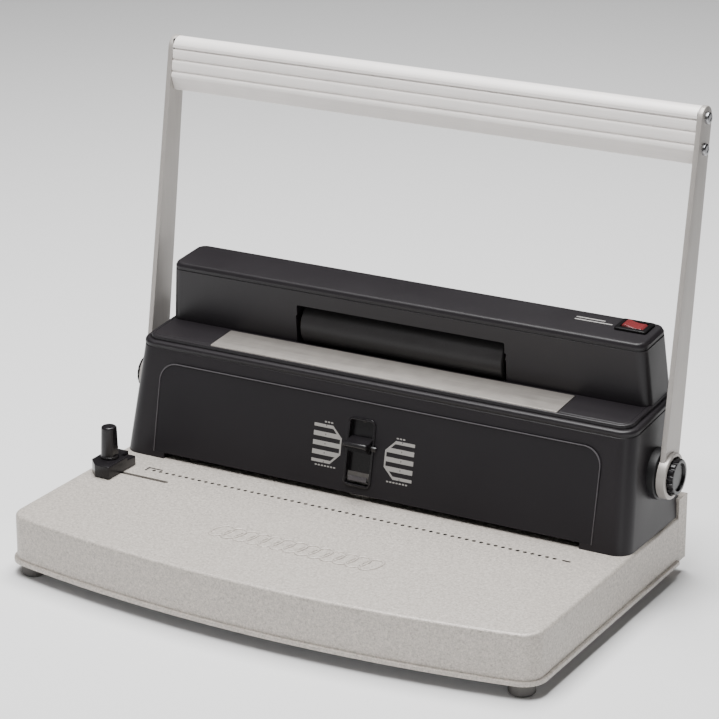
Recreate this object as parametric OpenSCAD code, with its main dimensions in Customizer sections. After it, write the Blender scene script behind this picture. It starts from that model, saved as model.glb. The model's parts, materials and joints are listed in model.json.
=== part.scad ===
// Tabletop manual punch with an electric spiral coil inserter.
// The handle turns a cross shaft, whose pinions drive a row of punch pins down through a die.
// X runs across the machine, Y towards its back and Z up. All sizes are in millimetres.

/* [Hole pattern] */
// Distance between neighbouring punched holes
hole_pitch = 5.08; // [4.7:0.01:6.4]
// Number of punched holes
hole_count = 59; // [40:1:70]
// Diameter of a punch pin
pin_d = 4; // [3:0.1:4.4]
// Diameter of each mark in the gauge row on the base
mark_d = 2.8; // [1:0.1:3.4]

/* [Base] */
// Width of base left outside the row of holes on each side
side_margin = 40.18; // [38:0.1:60]
// Distance from the gauge row forward to the base's front corners
front_reach = 107; // [80:1:150]
// How far the front edge bows out past its corners
front_bow = 19; // [5:1:30]
// Distance from the gauge row back to the base's rear edge
rear_reach = 98; // [98:1:120]
// Height of the base above its feet
base_h = 32.5; // [26:0.5:45]
// Radius of the base's front corners
base_corner_r = 14; // [6:1:25]
// Thickness of the base's sheet metal
sheet_t = 2; // [1.5:0.1:2.5]
// How far the bottom lip stands out
lip_w = 2; // [0.5:0.1:3]
// Diameter of a foot
foot_d = 17.5; // [12:0.5:24]
// Height of a foot
foot_h = 9; // [5:0.5:14]

/* [Housing] */
// Distance from the gauge row back to the foot of the housing's front face
housing_front = 21; // [16:0.5:23]
// Distance from the gauge row back to the housing's front lip
lip_front = 36; // [34:0.5:38]
// Height of the housing's front lip above the base
lip_h = 76; // [74:0.5:92]
// Rise of the deck towards the back, in degrees
deck_tilt = 5; // [0:0.5:8]
// Depth of the housing along the deck
deck_depth = 74.5; // [72:0.5:76]
// Distance along the deck to the upper block
block_front = 34; // [32:0.5:35]
// Height of the upper block above the lip
block_h = 44; // [42:0.5:55]
// Wall of the housings
wall_t = 3; // [2:0.1:3.5]
// Radius of the housings' upright corners
housing_corner_r = 11; // [6:0.5:14]

/* [Handle] */
// Length of an arm from the pivot to the top of the grip
arm_len = 232; // [195:1:280]
// Width of an arm near the pivot
arm_root_w = 23; // [18:0.5:26]
// Width of an arm at the grip
arm_tip_w = 16; // [13:0.5:19]
// Thickness of an arm
arm_t = 3.5; // [2.5:0.1:5]
// Lean of the handle towards the back at rest, in degrees
handle_lean = 9; // [0:0.5:12]
// Height of the grip bar along the arms
grip_h = 37; // [32:0.5:45]
// Turn of the handle from rest to its lowest, in degrees
handle_swing = 90; // [60:1:90]

/* [Punch drive] */
// Height of the cross shaft above the base
pivot_h = 39.5; // [38:0.5:42]
// Distance from the gauge row back to the cross shaft
pivot_y = 70; // [69:0.5:72]
// Diameter of the cross shaft
shaft_d = 10; // [8:0.1:12]
// Distance from the gauge row back to the punch pins
punch_y = 50; // [49:0.5:51]
// Height of the paper slot
throat_h = 3.2; // [2.6:0.1:4]
// Thickness of the die plate
die_t = 6; // [4:0.5:8]

/* [Coil inserter] */
// Length of the roller
roller_len = 149; // [100:1:170]
// Diameter of the roller
roller_d = 32; // [26:0.5:32]

/* [Fits] */
// Radial clearance of a shaft or pin that runs in a hole
run_gap = 0.05; // [0.02:0.01:0.1]
// Gap between pieces that slide or pass each other
slide_gap = 0.3; // [0.2:0.05:0.5]

/* [Hidden] */
fine = 64;
small = 32;
eps = 0.01;

// Base
row_len = (hole_count - 1) * hole_pitch;
base_w = row_len + 2 * side_margin;
base_top = foot_h + base_h;
floor_top = foot_h + sheet_t;
bow_r = (pow(base_w / 2, 2) + pow(front_bow, 2)) / (2 * front_bow);
bow_y = bow_r - front_reach - front_bow;
edge_r = 2.5;
lip_t = 2.5;
foot_x = base_w / 2 - 12.5;
foot_front_y = -front_reach + 8;
foot_rear_y = rear_reach - 8;
foot_screw_d = 4;

// Chip drawer and its rear panel
panel_gap = 0.3;
drawer_panel_t = 13;
drawer_rear = rear_reach + panel_gap + drawer_panel_t;
panel_rise = 12;
drawer_half = row_len / 2 + 8;
drawer_front = punch_y - 20;
drawer_floor = floor_top + slide_gap;
drawer_t = 1.6;

// Edge guide
guide_y = -13.3;
guide_slot_w = 3.2;
guide_stem_d = guide_slot_w - 2 * run_gap;
guide_x = -row_len / 2 - 26;
guide_face_x = guide_x + 9.5;
guide_slot_end = guide_x + 44;
guide_h = 9;
guide_knob_d = 11.5;
guide_knob_h = 22;
guide_bolt_in = 12;

// Housings
housing_half = base_w / 2 - 1.5;
lip_half = housing_half - 5;
front_lean = atan((lip_front - housing_front) / lip_h);
deck_half = lip_half - wall_t - 0.8;
deck_rise = 2.5;
deck_t = 3;
block_top_half = deck_half - 4.5;
rim_drop = 4;
ledge_t = 2;
rear_y = lip_front + deck_depth * cos(deck_tilt);

// Front panel and depth selector
label_t = 0.8;
label_half = row_len / 2 + 14.5;
label_top = 65;
slot_x = -6;
slot_w = 18;
slot_low = 10;
slot_high = 53;
selector_s = 35;
selector_up = 10;
selector_down = 14;
plate_t = 2;
plate_half = 12;
fork_t = 3;
fork_wall = 1.6;
link_pin_d = 2.4;
link_pin_h = 40;

// Punch train
pinion_m = 1;
pinion_teeth = 16;
pinion_r = pinion_m * pinion_teeth / 2;
travel = pinion_r * handle_swing * PI / 180;
pivot_z = base_top + pivot_h;
stripper_t = 10.8;
stripper_top = base_top + throat_h + stripper_t;
beam_gap = 1.4;
beam_bottom = stripper_top + travel + beam_gap;
beam_h = 20;
beam_t = 12;
tip_gap = 0.4;
block_y0 = punch_y - 9;
block_y1 = punch_y + 10;
block_half = row_len / 2 + 10.2;
throat_half = row_len / 2 + 2.7;
frame_out = housing_half - 8;
frame_t = 3;
frame_y0 = punch_y + 8;
frame_depth = 26;
post_x = frame_out - frame_t - 9;
post_d = 8;
beam_half = post_x + 6;
pinion_x = post_x - 16;
pinion_w = 8;
bush_d = shaft_d + 6;
boss_r = 16.5;
boss_out = base_w / 2 + 0.7;
rack_tip = 0.9;
rack_margin = 4.5;
backlash = 0.15;
spring_turns = 8;
spring_wire = 1.2;
spring_r = post_d / 2 + 2;

// Depth gauge
stop_y = punch_y + 7.8;
gauge_back = 90;
gauge_t = 2.4;
gauge_x0 = slot_x + plate_half + 0.5;
gauge_w = 16;
blade_half = throat_half - slide_gap;

// Handle
arm_in = boss_out + 0.8;
arm_out = arm_in + arm_t;
eye_r = 15;
eye_t = arm_t + 2.5;
hub_r = 12.6;
grip_r = arm_tip_w / 2;
grip_bottom = arm_len - grip_h;
grip_wall = 2;
grip_screw_d = 4;
grip_screw_high = arm_len - 7.5;
grip_screw_low = grip_screw_high - 19.3;
knob_r = 11.6;
knob_h = 6;
knob_stem_d = 5;

// Roller and its drive, in the deck's own frame: depth along the deck, height above the lip
roller_depth = 49.2;
roller_up = 12;
trough_gap = 2;
trough_t = 1.6;
trough_half = roller_len / 2 + 3;
roller_shaft_d = 8;
roller_bush_d = 12;
gear_m = 0.8;
roller_teeth = 22;
motor_teeth = 18;
gear_gap = gear_m * (roller_teeth + motor_teeth) / 2;
gear_angle = 12;
motor_depth = roller_depth + gear_gap * sin(gear_angle);
motor_up = roller_up - gear_gap * cos(gear_angle);
gear_x = trough_half + 4.5;
gear_w = 5;
bracket_x = gear_x + gear_w + 1.5;
bracket_t = 2;
motor_d = 24;
motor_len = 44;
motor_shaft_d = 4;
motor_shaft_l = 20;

// Switch
switch_x = base_w / 2 - 31.5;
switch_depth = 58;
switch_l = 20;
switch_w = 14;
rocker_tilt = 8;

// Handle and drawer set how far back the machine reaches, the bowed lip how far forward
handle_rear = pivot_y + (arm_len - grip_r) * sin(handle_lean) + grip_r;
back_y = max(drawer_rear, handle_rear);
front_y = -front_reach - front_bow - lip_w;
centre_y = (front_y + back_y) / 2;

// ---------- helpers ----------

function arc(c, r, a0, a1, n) =
  [for (i = [0:n]) c + r * [cos(a0 + (a1 - a0) * i / n), sin(a0 + (a1 - a0) * i / n)]];

// Outline of the base: straight sides, a bowed front and round front corners
module base_outline(inset) {
  cx = base_w / 2 - base_corner_r;
  cy = bow_y - sqrt(pow(bow_r - base_corner_r, 2) - cx * cx);
  turn = atan2(cy - bow_y, cx);
  r = base_corner_r - inset;
  polygon(concat(
    [[-base_w / 2 + inset, rear_reach - max(inset, 0)]],
    arc([-cx, cy], r, 180, 180 - turn, 8),
    arc([0, bow_y], bow_r - inset, 180 - turn, 360 + turn, 36),
    arc([cx, cy], r, turn, 0, 8),
    [[base_w / 2 - inset, rear_reach - max(inset, 0)]]));
}

module rounded_rect(half, y0, y1, r) {
  hull_r = min(r, (y1 - y0) / 2 - eps);
  translate([-half + hull_r, y0]) square([2 * (half - hull_r), y1 - y0]);
  translate([-half, y0 + hull_r]) square([2 * half, y1 - y0 - 2 * hull_r]);
  for (x = [-half + hull_r, half - hull_r], y = [y0 + hull_r, y1 - hull_r])
    translate([x, y]) circle(hull_r, $fn = small);
}

// A thin slice of a shell, for a hull
module slice(half, y0, y1, r) {
  linear_extrude(eps) rounded_rect(half, y0, y1, r);
}

// Plan X-Y becomes Y-Z, and an extrusion runs along X
module along_x() {
  rotate([90, 0, 90]) children();
}

module on_side(side) {
  if (side < 0) mirror([1, 0, 0]) children();
  else children();
}

// Local frame on the deck: X across, Y along the deck, Z square to it
module on_deck() {
  translate([0, lip_front, base_top + lip_h]) rotate([deck_tilt, 0, 0]) children();
}

// Local frame on the sloping front face: X across, Y up the slope, Z outwards
module on_front() {
  translate([0, housing_front, base_top]) rotate([90 - front_lean, 0, 0]) children();
}

// Local frame of the handle: X across, Z along the arms, origin on the pivot
module on_handle() {
  translate([0, pivot_y, pivot_z]) rotate([-handle_lean, 0, 0]) children();
}

function deg(radians) = radians * 180 / PI;
function involute_angle(a) = deg(tan(a)) - a;
function flank(r, teeth, m) =
  let (rp = m * teeth / 2, rb = rp * cos(20))
  90 / teeth - deg(backlash / (4 * rp)) + involute_angle(20)
  - (r > rb ? involute_angle(acos(rb / r)) : 0);

// Spur gear in plan, with a tooth pointing along +X
module gear(teeth, m) {
  rp = m * teeth / 2;
  rf = rp - 1.25 * m;
  ra = rp + m;
  rb = max(rp * cos(20), rf + eps);
  radii = [rf, rb, rb + (ra - rb) * 0.35, rb + (ra - rb) * 0.7, ra];
  polygon([for (i = [0:teeth - 1]) each concat(
    [for (r = radii) r * [cos(360 * i / teeth - flank(r, teeth, m)),
                          sin(360 * i / teeth - flank(r, teeth, m))]],
    [for (k = [4:-1:0]) radii[k] * [cos(360 * i / teeth + flank(radii[k], teeth, m)),
                                    sin(360 * i / teeth + flank(radii[k], teeth, m))]])]);
}

module hole_row(d, z0, z1) {
  for (i = [0:hole_count - 1])
    translate([(i - (hole_count - 1) / 2) * hole_pitch, 0, z0])
      cylinder(d = d, h = z1 - z0, $fn = small);
}

// Head and shank of a screw whose head stands on z = 0 and whose shank goes down
module screw(d, length) {
  difference() {
    cylinder(d = 1.9 * d, h = 0.55 * d, $fn = small);
    translate([0, 0, 0.25 * d]) cylinder(d = d, h = d, $fn = 6);
  }
  translate([0, 0, -length]) cylinder(d = d, h = length + eps, $fn = small);
}

// ---------- base ----------

module base_cover() {
  color([0.72, 0.71, 0.69]) difference() {
    union() {
      hull() {
        translate([0, 0, foot_h]) linear_extrude(base_h - edge_r) base_outline(0);
        translate([0, 0, base_top - 0.3 * edge_r]) linear_extrude(eps) base_outline(0.3 * edge_r);
        translate([0, 0, base_top - eps]) linear_extrude(eps) base_outline(edge_r);
      }
      translate([0, 0, foot_h]) linear_extrude(lip_t) base_outline(-lip_w);
    }
    translate([0, 0, foot_h - 1]) linear_extrude(base_h - sheet_t + 1) base_outline(sheet_t);
    hole_row(mark_d, base_top - 5, base_top + 1);
    translate([row_len / 2 + 5, -1, base_top - 5]) cube([6, 2, 10]);
    // Slot of the edge guide, with round ends
    for (x = [guide_x - 3, guide_slot_end])
      translate([x, guide_y, base_top - 5]) cylinder(d = guide_slot_w, h = 10, $fn = small);
    translate([guide_x - 3, guide_y - guide_slot_w / 2, base_top - 5])
      cube([guide_slot_end - guide_x + 3, guide_slot_w, 10]);
    // Window that the die plate fills
    translate([-block_half, block_y0, base_top - 10]) cube([2 * block_half, block_y1 - block_y0, 20]);
    // Way out of the chip drawer
    translate([-drawer_half - slide_gap, rear_reach - 10, floor_top - 1])
      cube([2 * (drawer_half + slide_gap), 20, drawer_top() - floor_top + 1 + slide_gap]);
    for (side = [-1, 1]) {
      translate([side * post_x, punch_y, base_top - 5]) cylinder(d = 5, h = 10, $fn = small);
      frame_screw_places(side) translate([0, 0, -5]) cylinder(d = 4, h = 10, $fn = small);
      housing_screw_places(side) translate([0, 0, -5]) cylinder(d = 4, h = 10, $fn = small);
    }
  }
}

module base_plate() {
  color([0.45, 0.45, 0.46]) difference() {
    translate([0, 0, foot_h]) linear_extrude(sheet_t) base_outline(sheet_t);
    for (side = [-1, 1], y = [foot_front_y, foot_rear_y])
      translate([side * foot_x, y, foot_h - 1])
        cylinder(d = foot_screw_d, h = sheet_t + 2, $fn = small);
  }
}

module feet() {
  color([0.45, 0.45, 0.45]) for (side = [-1, 1], y = [foot_front_y, foot_rear_y])
    translate([side * foot_x, y, 0]) difference() {
      rotate_extrude($fn = fine) polygon([
        [0, 0], [foot_d / 2 - 1.5, 0], [foot_d / 2 - 0.4, 1.1], [foot_d / 2, foot_h], [0, foot_h]]);
      translate([0, 0, -1]) cylinder(d = 2 * foot_screw_d, h = 5, $fn = small);
      cylinder(d = foot_screw_d, h = foot_h + 1, $fn = small);
    }
}

module foot_screws() {
  color([0.6, 0.6, 0.6]) for (side = [-1, 1], y = [foot_front_y, foot_rear_y])
    translate([side * foot_x, y, 4]) mirror([0, 0, 1]) screw(foot_screw_d, foot_h + sheet_t - 1);
}

// ---------- housings ----------

module lower_body() {
  hull() {
    translate([0, 0, base_top]) slice(housing_half, housing_front, rear_y, housing_corner_r);
    on_deck() translate([0, 0, -1.5]) slice(lip_half + 0.1, -0.3, deck_depth, housing_corner_r);
    on_deck() slice(lip_half - 1.2, 0.9, deck_depth, housing_corner_r);
  }
}

// The hollow inside, open at the bottom and at the top
module lower_room() {
  hull() {
    translate([0, 0, base_top - 1])
      slice(housing_half - wall_t, housing_front + wall_t, rear_y - wall_t, housing_corner_r);
    on_deck() translate([0, 0, 1]) slice(lip_half - wall_t, wall_t, deck_depth - wall_t, housing_corner_r);
  }
}

module boss_shape() {
  along_x() {
    translate([0, 0, frame_out + 0.5]) cylinder(r = 12, h = 6, $fn = fine);
    translate([0, 0, housing_half - 3.8]) cylinder(r = boss_r, h = boss_out - housing_half + 3.8, $fn = fine);
  }
}

module lower_housing() {
  color([0.17, 0.165, 0.17]) difference() {
    union() {
      difference() {
        lower_body();
        lower_room();
      }
      // Ledge that the upper housing stands on
      on_deck() translate([0, 0, -rim_drop - ledge_t]) linear_extrude(ledge_t) difference() {
        rounded_rect(lip_half - 1, 1, deck_depth - 1, housing_corner_r);
        rounded_rect(lip_half - 6, 7, deck_depth - 7, 6);
      }
      // Pads for the screws that come up through the base
      for (side = [-1, 1]) housing_screw_places(side)
        cylinder(d = 9, h = 14, $fn = small);
    }
    // Mouth of the paper slot
    translate([-throat_half - 4, 0, base_top - 1]) cube([2 * (throat_half + 4), punch_y - 9, throat_h + 1]);
    // Seat of the front panel and the slot behind it
    on_front() {
      translate([0, 0, -label_t]) linear_extrude(5) label_outline();
      selector_slot(20);
    }
    // Room for the rear panel of the chip drawer
    translate([-base_w, rear_reach - slide_gap, base_top - 1]) cube([2 * base_w, 40, panel_rise + 1 + slide_gap]);
    // Opening that the back panel closes
    translate([-panel_half(), rear_y - wall_t - 1, panel_z0()])
      cube([2 * panel_half(), 20, panel_z1() - panel_z0()]);
    for (side = [-1, 1]) {
      on_side(side) translate([0, pivot_y, pivot_z]) boss_shape();
      housing_screw_places(side) translate([0, 0, -1]) cylinder(d = 3, h = 12, $fn = small);
    }
  }
}

module label_outline() {
  r = 12;
  translate([-label_half, throat_h + 1]) square([2 * label_half, label_top - throat_h - 1 - r]);
  translate([-label_half + r, label_top - 2 * r]) square([2 * (label_half - r), 2 * r]);
  for (side = [-1, 1]) translate([side * (label_half - r), label_top - r]) circle(r, $fn = fine);
}

module selector_slot(depth) {
  r = 3;
  translate([slot_x, 0, -depth / 2]) linear_extrude(depth)
    rounded_rect(slot_w / 2, slot_low, slot_high, r);
}

module front_panel() {
  color([0.14, 0.14, 0.15]) on_front() difference() {
    translate([0, 0, -label_t]) linear_extrude(label_t) label_outline();
    selector_slot(20);
  }
}

module upper_body(inset) {
  hull() {
    translate([0, 0, -deck_rise])
      slice(deck_half - inset, block_front + inset, deck_depth - wall_t - 1 - inset, housing_corner_r);
    translate([0, 0, block_h - 3 - inset])
      slice(block_top_half + 0.2 - inset, block_front + inset, deck_depth - wall_t - 1 - inset, housing_corner_r);
    translate([0, 0, block_h - inset - eps])
      slice(block_top_half - max(2.2, inset), block_front + max(1.8, inset),
            deck_depth - wall_t - 1 - max(1.8, inset), housing_corner_r - 1);
  }
}

module upper_housing() {
  color([0.2, 0.195, 0.2]) on_deck() difference() {
    union() {
      difference() {
        union() {
          translate([0, 0, deck_rise - deck_t]) linear_extrude(deck_t)
            rounded_rect(deck_half, wall_t + 0.8, deck_depth - wall_t - 0.8, housing_corner_r - 2);
          translate([0, 0, -rim_drop]) linear_extrude(rim_drop) difference() {
            rounded_rect(deck_half, wall_t + 0.8, deck_depth - wall_t - 0.8, housing_corner_r - 2);
            rounded_rect(deck_half - wall_t, 2 * wall_t + 0.8, deck_depth - 2 * wall_t - 0.8, 6);
          }
          upper_body(0);
        }
        // Hollow of the block, open below into the lower housing
        upper_body(wall_t);
        translate([-block_top_half + wall_t, block_front + wall_t, -20])
          cube([2 * (block_top_half - wall_t), deck_depth - block_front - 3 * wall_t - 1, 22 + deck_rise]);
      }
      // Trough and end walls around the roller
      intersection() {
        translate([0, roller_depth, roller_up]) along_x()
          translate([0, 0, -trough_half - 2]) cylinder(r = trough_r() + trough_t, h = 2 * trough_half + 4, $fn = fine);
        translate([-200, block_front + 1, -30]) cube([400, 60, 80]);
      }
    }
    translate([0, roller_depth, roller_up]) along_x() {
      translate([0, 0, -trough_half]) cylinder(r = trough_r(), h = 2 * trough_half, $fn = fine);
      translate([0, 0, -trough_half - 10]) cylinder(d = roller_bush_d, h = 2 * trough_half + 20, $fn = small);
    }
    // Opening in the front of the block for the roller
    translate([-trough_half + 1, block_front - 5, deck_rise])
      cube([2 * (trough_half - 1), 12, roller_up + trough_r() - deck_rise - 0.8]);
    // Seats of the bed strip and the switch
    translate([-strip_half(), strip_depth(), deck_rise - 0.5]) cube([2 * strip_half(), strip_w(), 5]);
    translate([switch_x - switch_l / 2 + 1, switch_depth - switch_w / 2 + 1, block_h - 10])
      cube([switch_l - 2, switch_w - 2, 20]);
  }
}

module bed_strip() {
  color([0.78, 0.76, 0.73]) on_deck()
    translate([-strip_half() + 0.1, strip_depth() + 0.1, deck_rise - 0.5])
      cube([2 * strip_half() - 0.2, strip_w() - 0.2, 1.2]);
}

module back_panel() {
  color([0.16, 0.16, 0.165]) difference() {
    translate([-panel_half(), rear_y - wall_t, panel_z0()])
      cube([2 * panel_half(), sheet_t, panel_z1() - panel_z0()]);
    inlet_place() translate([-inlet_w / 2, -20, -inlet_h / 2]) cube([inlet_w, 40, inlet_h]);
    for (i = [0:9]) translate([-20 + i * 8, rear_y - 10, pivot_z - 12]) cube([3, 20, 24]);
    panel_screw_places() rotate([-90, 0, 0]) translate([0, 0, -20]) cylinder(d = 3, h = 40, $fn = small);
  }
}

module panel_screws() {
  color([0.3, 0.3, 0.3]) panel_screw_places() translate([0, -wall_t + sheet_t, 0]) rotate([-90, 0, 0])
    screw(3, 8);
}

module panel_screw_places() {
  for (side = [-1, 1], z = [panel_z0() + 6, panel_z1() - 6])
    translate([side * (panel_half() - 7), rear_y, z]) children();
}

inlet_w = 27;
inlet_h = 19;
module inlet_place() {
  translate([-110, rear_y - wall_t + sheet_t, pivot_z]) children();
}

// Three-pin appliance inlet with its flange behind the panel's opening
module power_inlet() {
  color([0.1, 0.1, 0.1]) inlet_place() {
    difference() {
      union() {
        translate([-inlet_w / 2 - 3, -sheet_t - 2, -inlet_h / 2 - 3]) cube([inlet_w + 6, 2, inlet_h + 6]);
        translate([-inlet_w / 2, -17, -inlet_h / 2]) cube([inlet_w, 17 - 0.2, inlet_h]);
      }
      translate([-inlet_w / 2 + 1.5, -15, -inlet_h / 2 + 1.5]) cube([inlet_w - 3, 20, inlet_h - 3]);
    }
    for (p = [[0, 3.5], [-7, -3], [7, -3]])
      translate([p[0] - 1, -15.5, p[1] - 2]) cube([2, 13, 4]);
  }
}

// Circuit board with its relay, capacitor and terminal block
module control_board() {
  color([0.12, 0.4, 0.25]) on_deck() translate([-trough_half - 65, deck_depth - 2 * wall_t - 6, deck_rise + 4]) {
    cube([52, 1.6, 28]);
    translate([5, -9, 5]) cube([14, 9 + eps, 17]);
    translate([27, 0, 14]) rotate([90, 0, 0]) cylinder(d = 10, h = 13, $fn = small);
    translate([36, -8, 6]) cube([12, 8 + eps, 10]);
    for (x = [4, 48], z = [3, 25]) translate([x, 1.5, z]) rotate([-90, 0, 0]) cylinder(d = 5, h = 3.4, $fn = small);
  }
}

// ---------- switch ----------

module switch_place() {
  on_deck() translate([switch_x, switch_depth, block_h]) children();
}

module switch_bezel() {
  color([0.08, 0.08, 0.08]) switch_place() difference() {
    union() {
      translate([-switch_l / 2 - 1, -switch_w / 2 - 1, 0]) cube([switch_l + 2, switch_w + 2, 1.8]);
      translate([-switch_l / 2 + 1, -switch_w / 2 + 1, -14]) cube([switch_l - 2, switch_w - 2, 14 + eps]);
    }
    translate([-switch_l / 2 + 2, -switch_w / 2 + 2, -10]) cube([switch_l - 4, switch_w - 4, 20]);
    rotate([90, 0, 0]) translate([0, -1.5, -switch_w]) cylinder(d = 3 + 2 * run_gap, h = 2 * switch_w, $fn = small);
  }
}

// Rocker on its cross pin, tipped to its rest side
module switch_rocker() {
  half = switch_l / 2 - 2.7;
  color([0.8, 0.1, 0.08]) switch_place() translate([0, 0, -1.5]) rotate([0, rocker_tilt, 0]) {
    rotate([90, 0, 0]) linear_extrude(switch_w - 4 - 2 * slide_gap, center = true) polygon([
      [-half, 0], [-half, 3.4], [-half + 2, 4.1], [0, 3.3], [half - 2, 4.1], [half, 3.4],
      [half, 0], [3, -3.4], [-3, -3.4]]);
    rotate([90, 0, 0]) cylinder(d = 3, h = switch_w - 2, center = true, $fn = small);
  }
}

// ---------- depth selector and gauge ----------

module depth_selector() {
  back = -wall_t - slide_gap;
  color([0.12, 0.12, 0.125]) {
    on_front() {
      translate([slot_x - plate_half, selector_s - 17, back - plate_t]) cube([2 * plate_half, 41, plate_t]);
      translate([slot_x, 0, 0]) along_x_local() linear_extrude(slot_w - 2 * slide_gap, center = true)
        polygon([[selector_s - 3.5, back - eps], [selector_s - 2, 3], [selector_s + 1, 8.5],
                 [selector_s + 3, 8.5], [selector_s + 4, back - eps]]);
      translate([slot_x - 12.5, selector_s - 1.2, slide_gap]) cube([25, 3.6, 1]);
    }
    // Fork with an upright slot for the gauge's link pin
    translate([slot_x - fork_t / 2, 0, 0]) along_x() linear_extrude(fork_t) difference() {
      fork_back = link_pin_y() + link_pin_d / 2 + run_gap + fork_wall;
      polygon([[fork_front(fork_low()), fork_low()], [fork_back, fork_low()],
               [fork_back, fork_high()], [fork_front(fork_high()), fork_high()]]);
      translate([link_pin_y() - link_pin_d / 2 - run_gap, fork_low() + 3])
        square([link_pin_d + 2 * run_gap, fork_high() - fork_low() - 6]);
    }
  }
}

// In the front face's frame, plan X-Y becomes slope and outwards, and an extrusion runs along X
module along_x_local() {
  rotate([90, 0, 90]) children();
}

module depth_gauge() {
  leg_top = beam_bottom + beam_h + 2 + gauge_t;
  pin_z = base_top + link_pin_h;
  color([0.6, 0.6, 0.62]) {
    translate([-blade_half, stop_y, base_top + 0.4]) cube([2 * blade_half, gauge_back - stop_y, throat_h - 0.8]);
    translate([gauge_x0, gauge_back - gauge_t, base_top + 0.4]) cube([gauge_w, gauge_t, leg_top - base_top - 0.4]);
    translate([gauge_x0, link_pin_y() - gauge_t / 2, leg_top - gauge_t])
      cube([gauge_w, gauge_back - link_pin_y() + gauge_t / 2, gauge_t]);
    translate([gauge_x0, link_pin_y() - gauge_t / 2, pin_z - 3]) cube([gauge_w, gauge_t, leg_top - pin_z + 3]);
    translate([slot_x - fork_t / 2 - 1.5, link_pin_y(), pin_z]) along_x()
      cylinder(d = link_pin_d, h = gauge_x0 - slot_x + fork_t / 2 + 2.5, $fn = small);
  }
}

// ---------- coil inserter ----------

module roller_place() {
  on_deck() translate([0, roller_depth, roller_up]) along_x() children();
}

module roller_sleeve() {
  color([0.1, 0.1, 0.1]) roller_place() difference() {
    cylinder(d = roller_d, h = roller_len, center = true, $fn = 96);
    cylinder(d = roller_d - 8, h = roller_len + 2, center = true, $fn = fine);
  }
}

module roller_core() {
  color([0.7, 0.7, 0.72]) roller_place() difference() {
    cylinder(d = roller_d - 8, h = roller_len - 2, center = true, $fn = fine);
    cylinder(d = roller_d - 12, h = roller_len - 14, center = true, $fn = fine);
    cylinder(d = roller_shaft_d, h = roller_len + 2, center = true, $fn = small);
  }
}

module roller_shaft() {
  color([0.75, 0.75, 0.77]) roller_place() translate([0, 0, -trough_half - 4])
    cylinder(d = roller_shaft_d, h = trough_half + 4 + bracket_x + bracket_t + 2, $fn = small);
}

module roller_bush(side) {
  color([0.75, 0.55, 0.25]) on_side(side) roller_place() difference() {
    union() {
      translate([0, 0, trough_half]) cylinder(d = roller_bush_d, h = 2, $fn = small);
      translate([0, 0, trough_half - 1.2]) cylinder(d = roller_bush_d + 4, h = 1.2, $fn = small);
    }
    translate([0, 0, trough_half - 5]) cylinder(d = roller_shaft_d + 2 * run_gap, h = 10, $fn = small);
  }
}

module roller_gear() {
  color([0.9, 0.88, 0.8]) roller_place() translate([0, 0, gear_x]) difference() {
    rotate(gear_angle - 90) linear_extrude(gear_w) gear(roller_teeth, gear_m);
    translate([0, 0, -1]) cylinder(d = roller_shaft_d, h = gear_w + 2, $fn = small);
  }
}

module motor_place() {
  on_deck() translate([0, motor_depth, motor_up]) along_x() children();
}

module motor_pinion() {
  color([0.8, 0.65, 0.3]) motor_place() translate([0, 0, gear_x + 0.3]) difference() {
    rotate(gear_angle + 90 + 180 / motor_teeth) linear_extrude(gear_w) gear(motor_teeth, gear_m);
    translate([0, 0, -1]) cylinder(d = motor_shaft_d, h = gear_w + 2, $fn = small);
  }
}

module motor_shaft() {
  color([0.78, 0.78, 0.8]) motor_place() translate([0, 0, gear_x])
    cylinder(d = motor_shaft_d, h = motor_shaft_l, $fn = small);
}

module gear_motor() {
  color([0.55, 0.56, 0.58]) motor_place() difference() {
    union() {
      translate([0, 0, bracket_x + bracket_t]) cylinder(d = motor_d, h = motor_len, $fn = fine);
      translate([0, 0, bracket_x + bracket_t + motor_len]) cylinder(d = 9, h = 3, $fn = small);
      translate([0, 0, bracket_x - 0.5]) cylinder(d = 9, h = 3, $fn = small);
    }
    translate([0, 0, gear_x]) cylinder(d = motor_shaft_d + 2 * run_gap, h = motor_shaft_l + 1, $fn = small);
  }
}

// Plate that holds the gear motor and the roller shaft's free end
module motor_bracket() {
  color([0.66, 0.66, 0.68]) on_deck() difference() {
    translate([bracket_x, block_front + wall_t + 3, motor_up - 14])
      cube([bracket_t, deck_depth - block_front - 3 * wall_t - 5, roller_up + 10 - motor_up + 14]);
    translate([0, roller_depth, roller_up]) along_x()
      translate([0, 0, bracket_x - 1]) cylinder(d = roller_shaft_d + 2 * run_gap, h = 5, $fn = small);
    translate([0, motor_depth, motor_up]) along_x()
      translate([0, 0, bracket_x - 1]) cylinder(d = 9, h = 5, $fn = small);
  }
}

// ---------- handle ----------

module arm(side) {
  color([0.76, 0.75, 0.73]) on_side(side) on_handle() difference() {
    union() {
      translate([arm_in, 0, 0]) along_x() {
        linear_extrude(arm_t) {
          polygon([[-arm_root_w / 2, 0], [arm_root_w / 2, 0],
                   [grip_r, arm_len - grip_r], [-grip_r, arm_len - grip_r]]);
          translate([0, arm_len - grip_r]) circle(grip_r, $fn = fine);
        }
        cylinder(r = eye_r, h = eye_t, $fn = fine);
      }
    }
    along_x() {
      cylinder(r = hub_r, h = 400, $fn = fine);
      for (z = [grip_screw_low, grip_screw_high])
        translate([0, z, 0]) cylinder(d = grip_screw_d, h = 400, $fn = small);
    }
  }
}

// Section of the grip bar: round top, bulged front with three grooves, turned-under foot
module grip_section(inset) {
  r = grip_r - inset - 0.4;
  translate([0, arm_len - grip_r]) circle(r, $fn = fine);
  translate([0, grip_bottom + grip_r]) circle(r, $fn = fine);
  translate([-r, grip_bottom + grip_r]) square([2 * r, grip_h - 2 * grip_r]);
}

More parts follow.
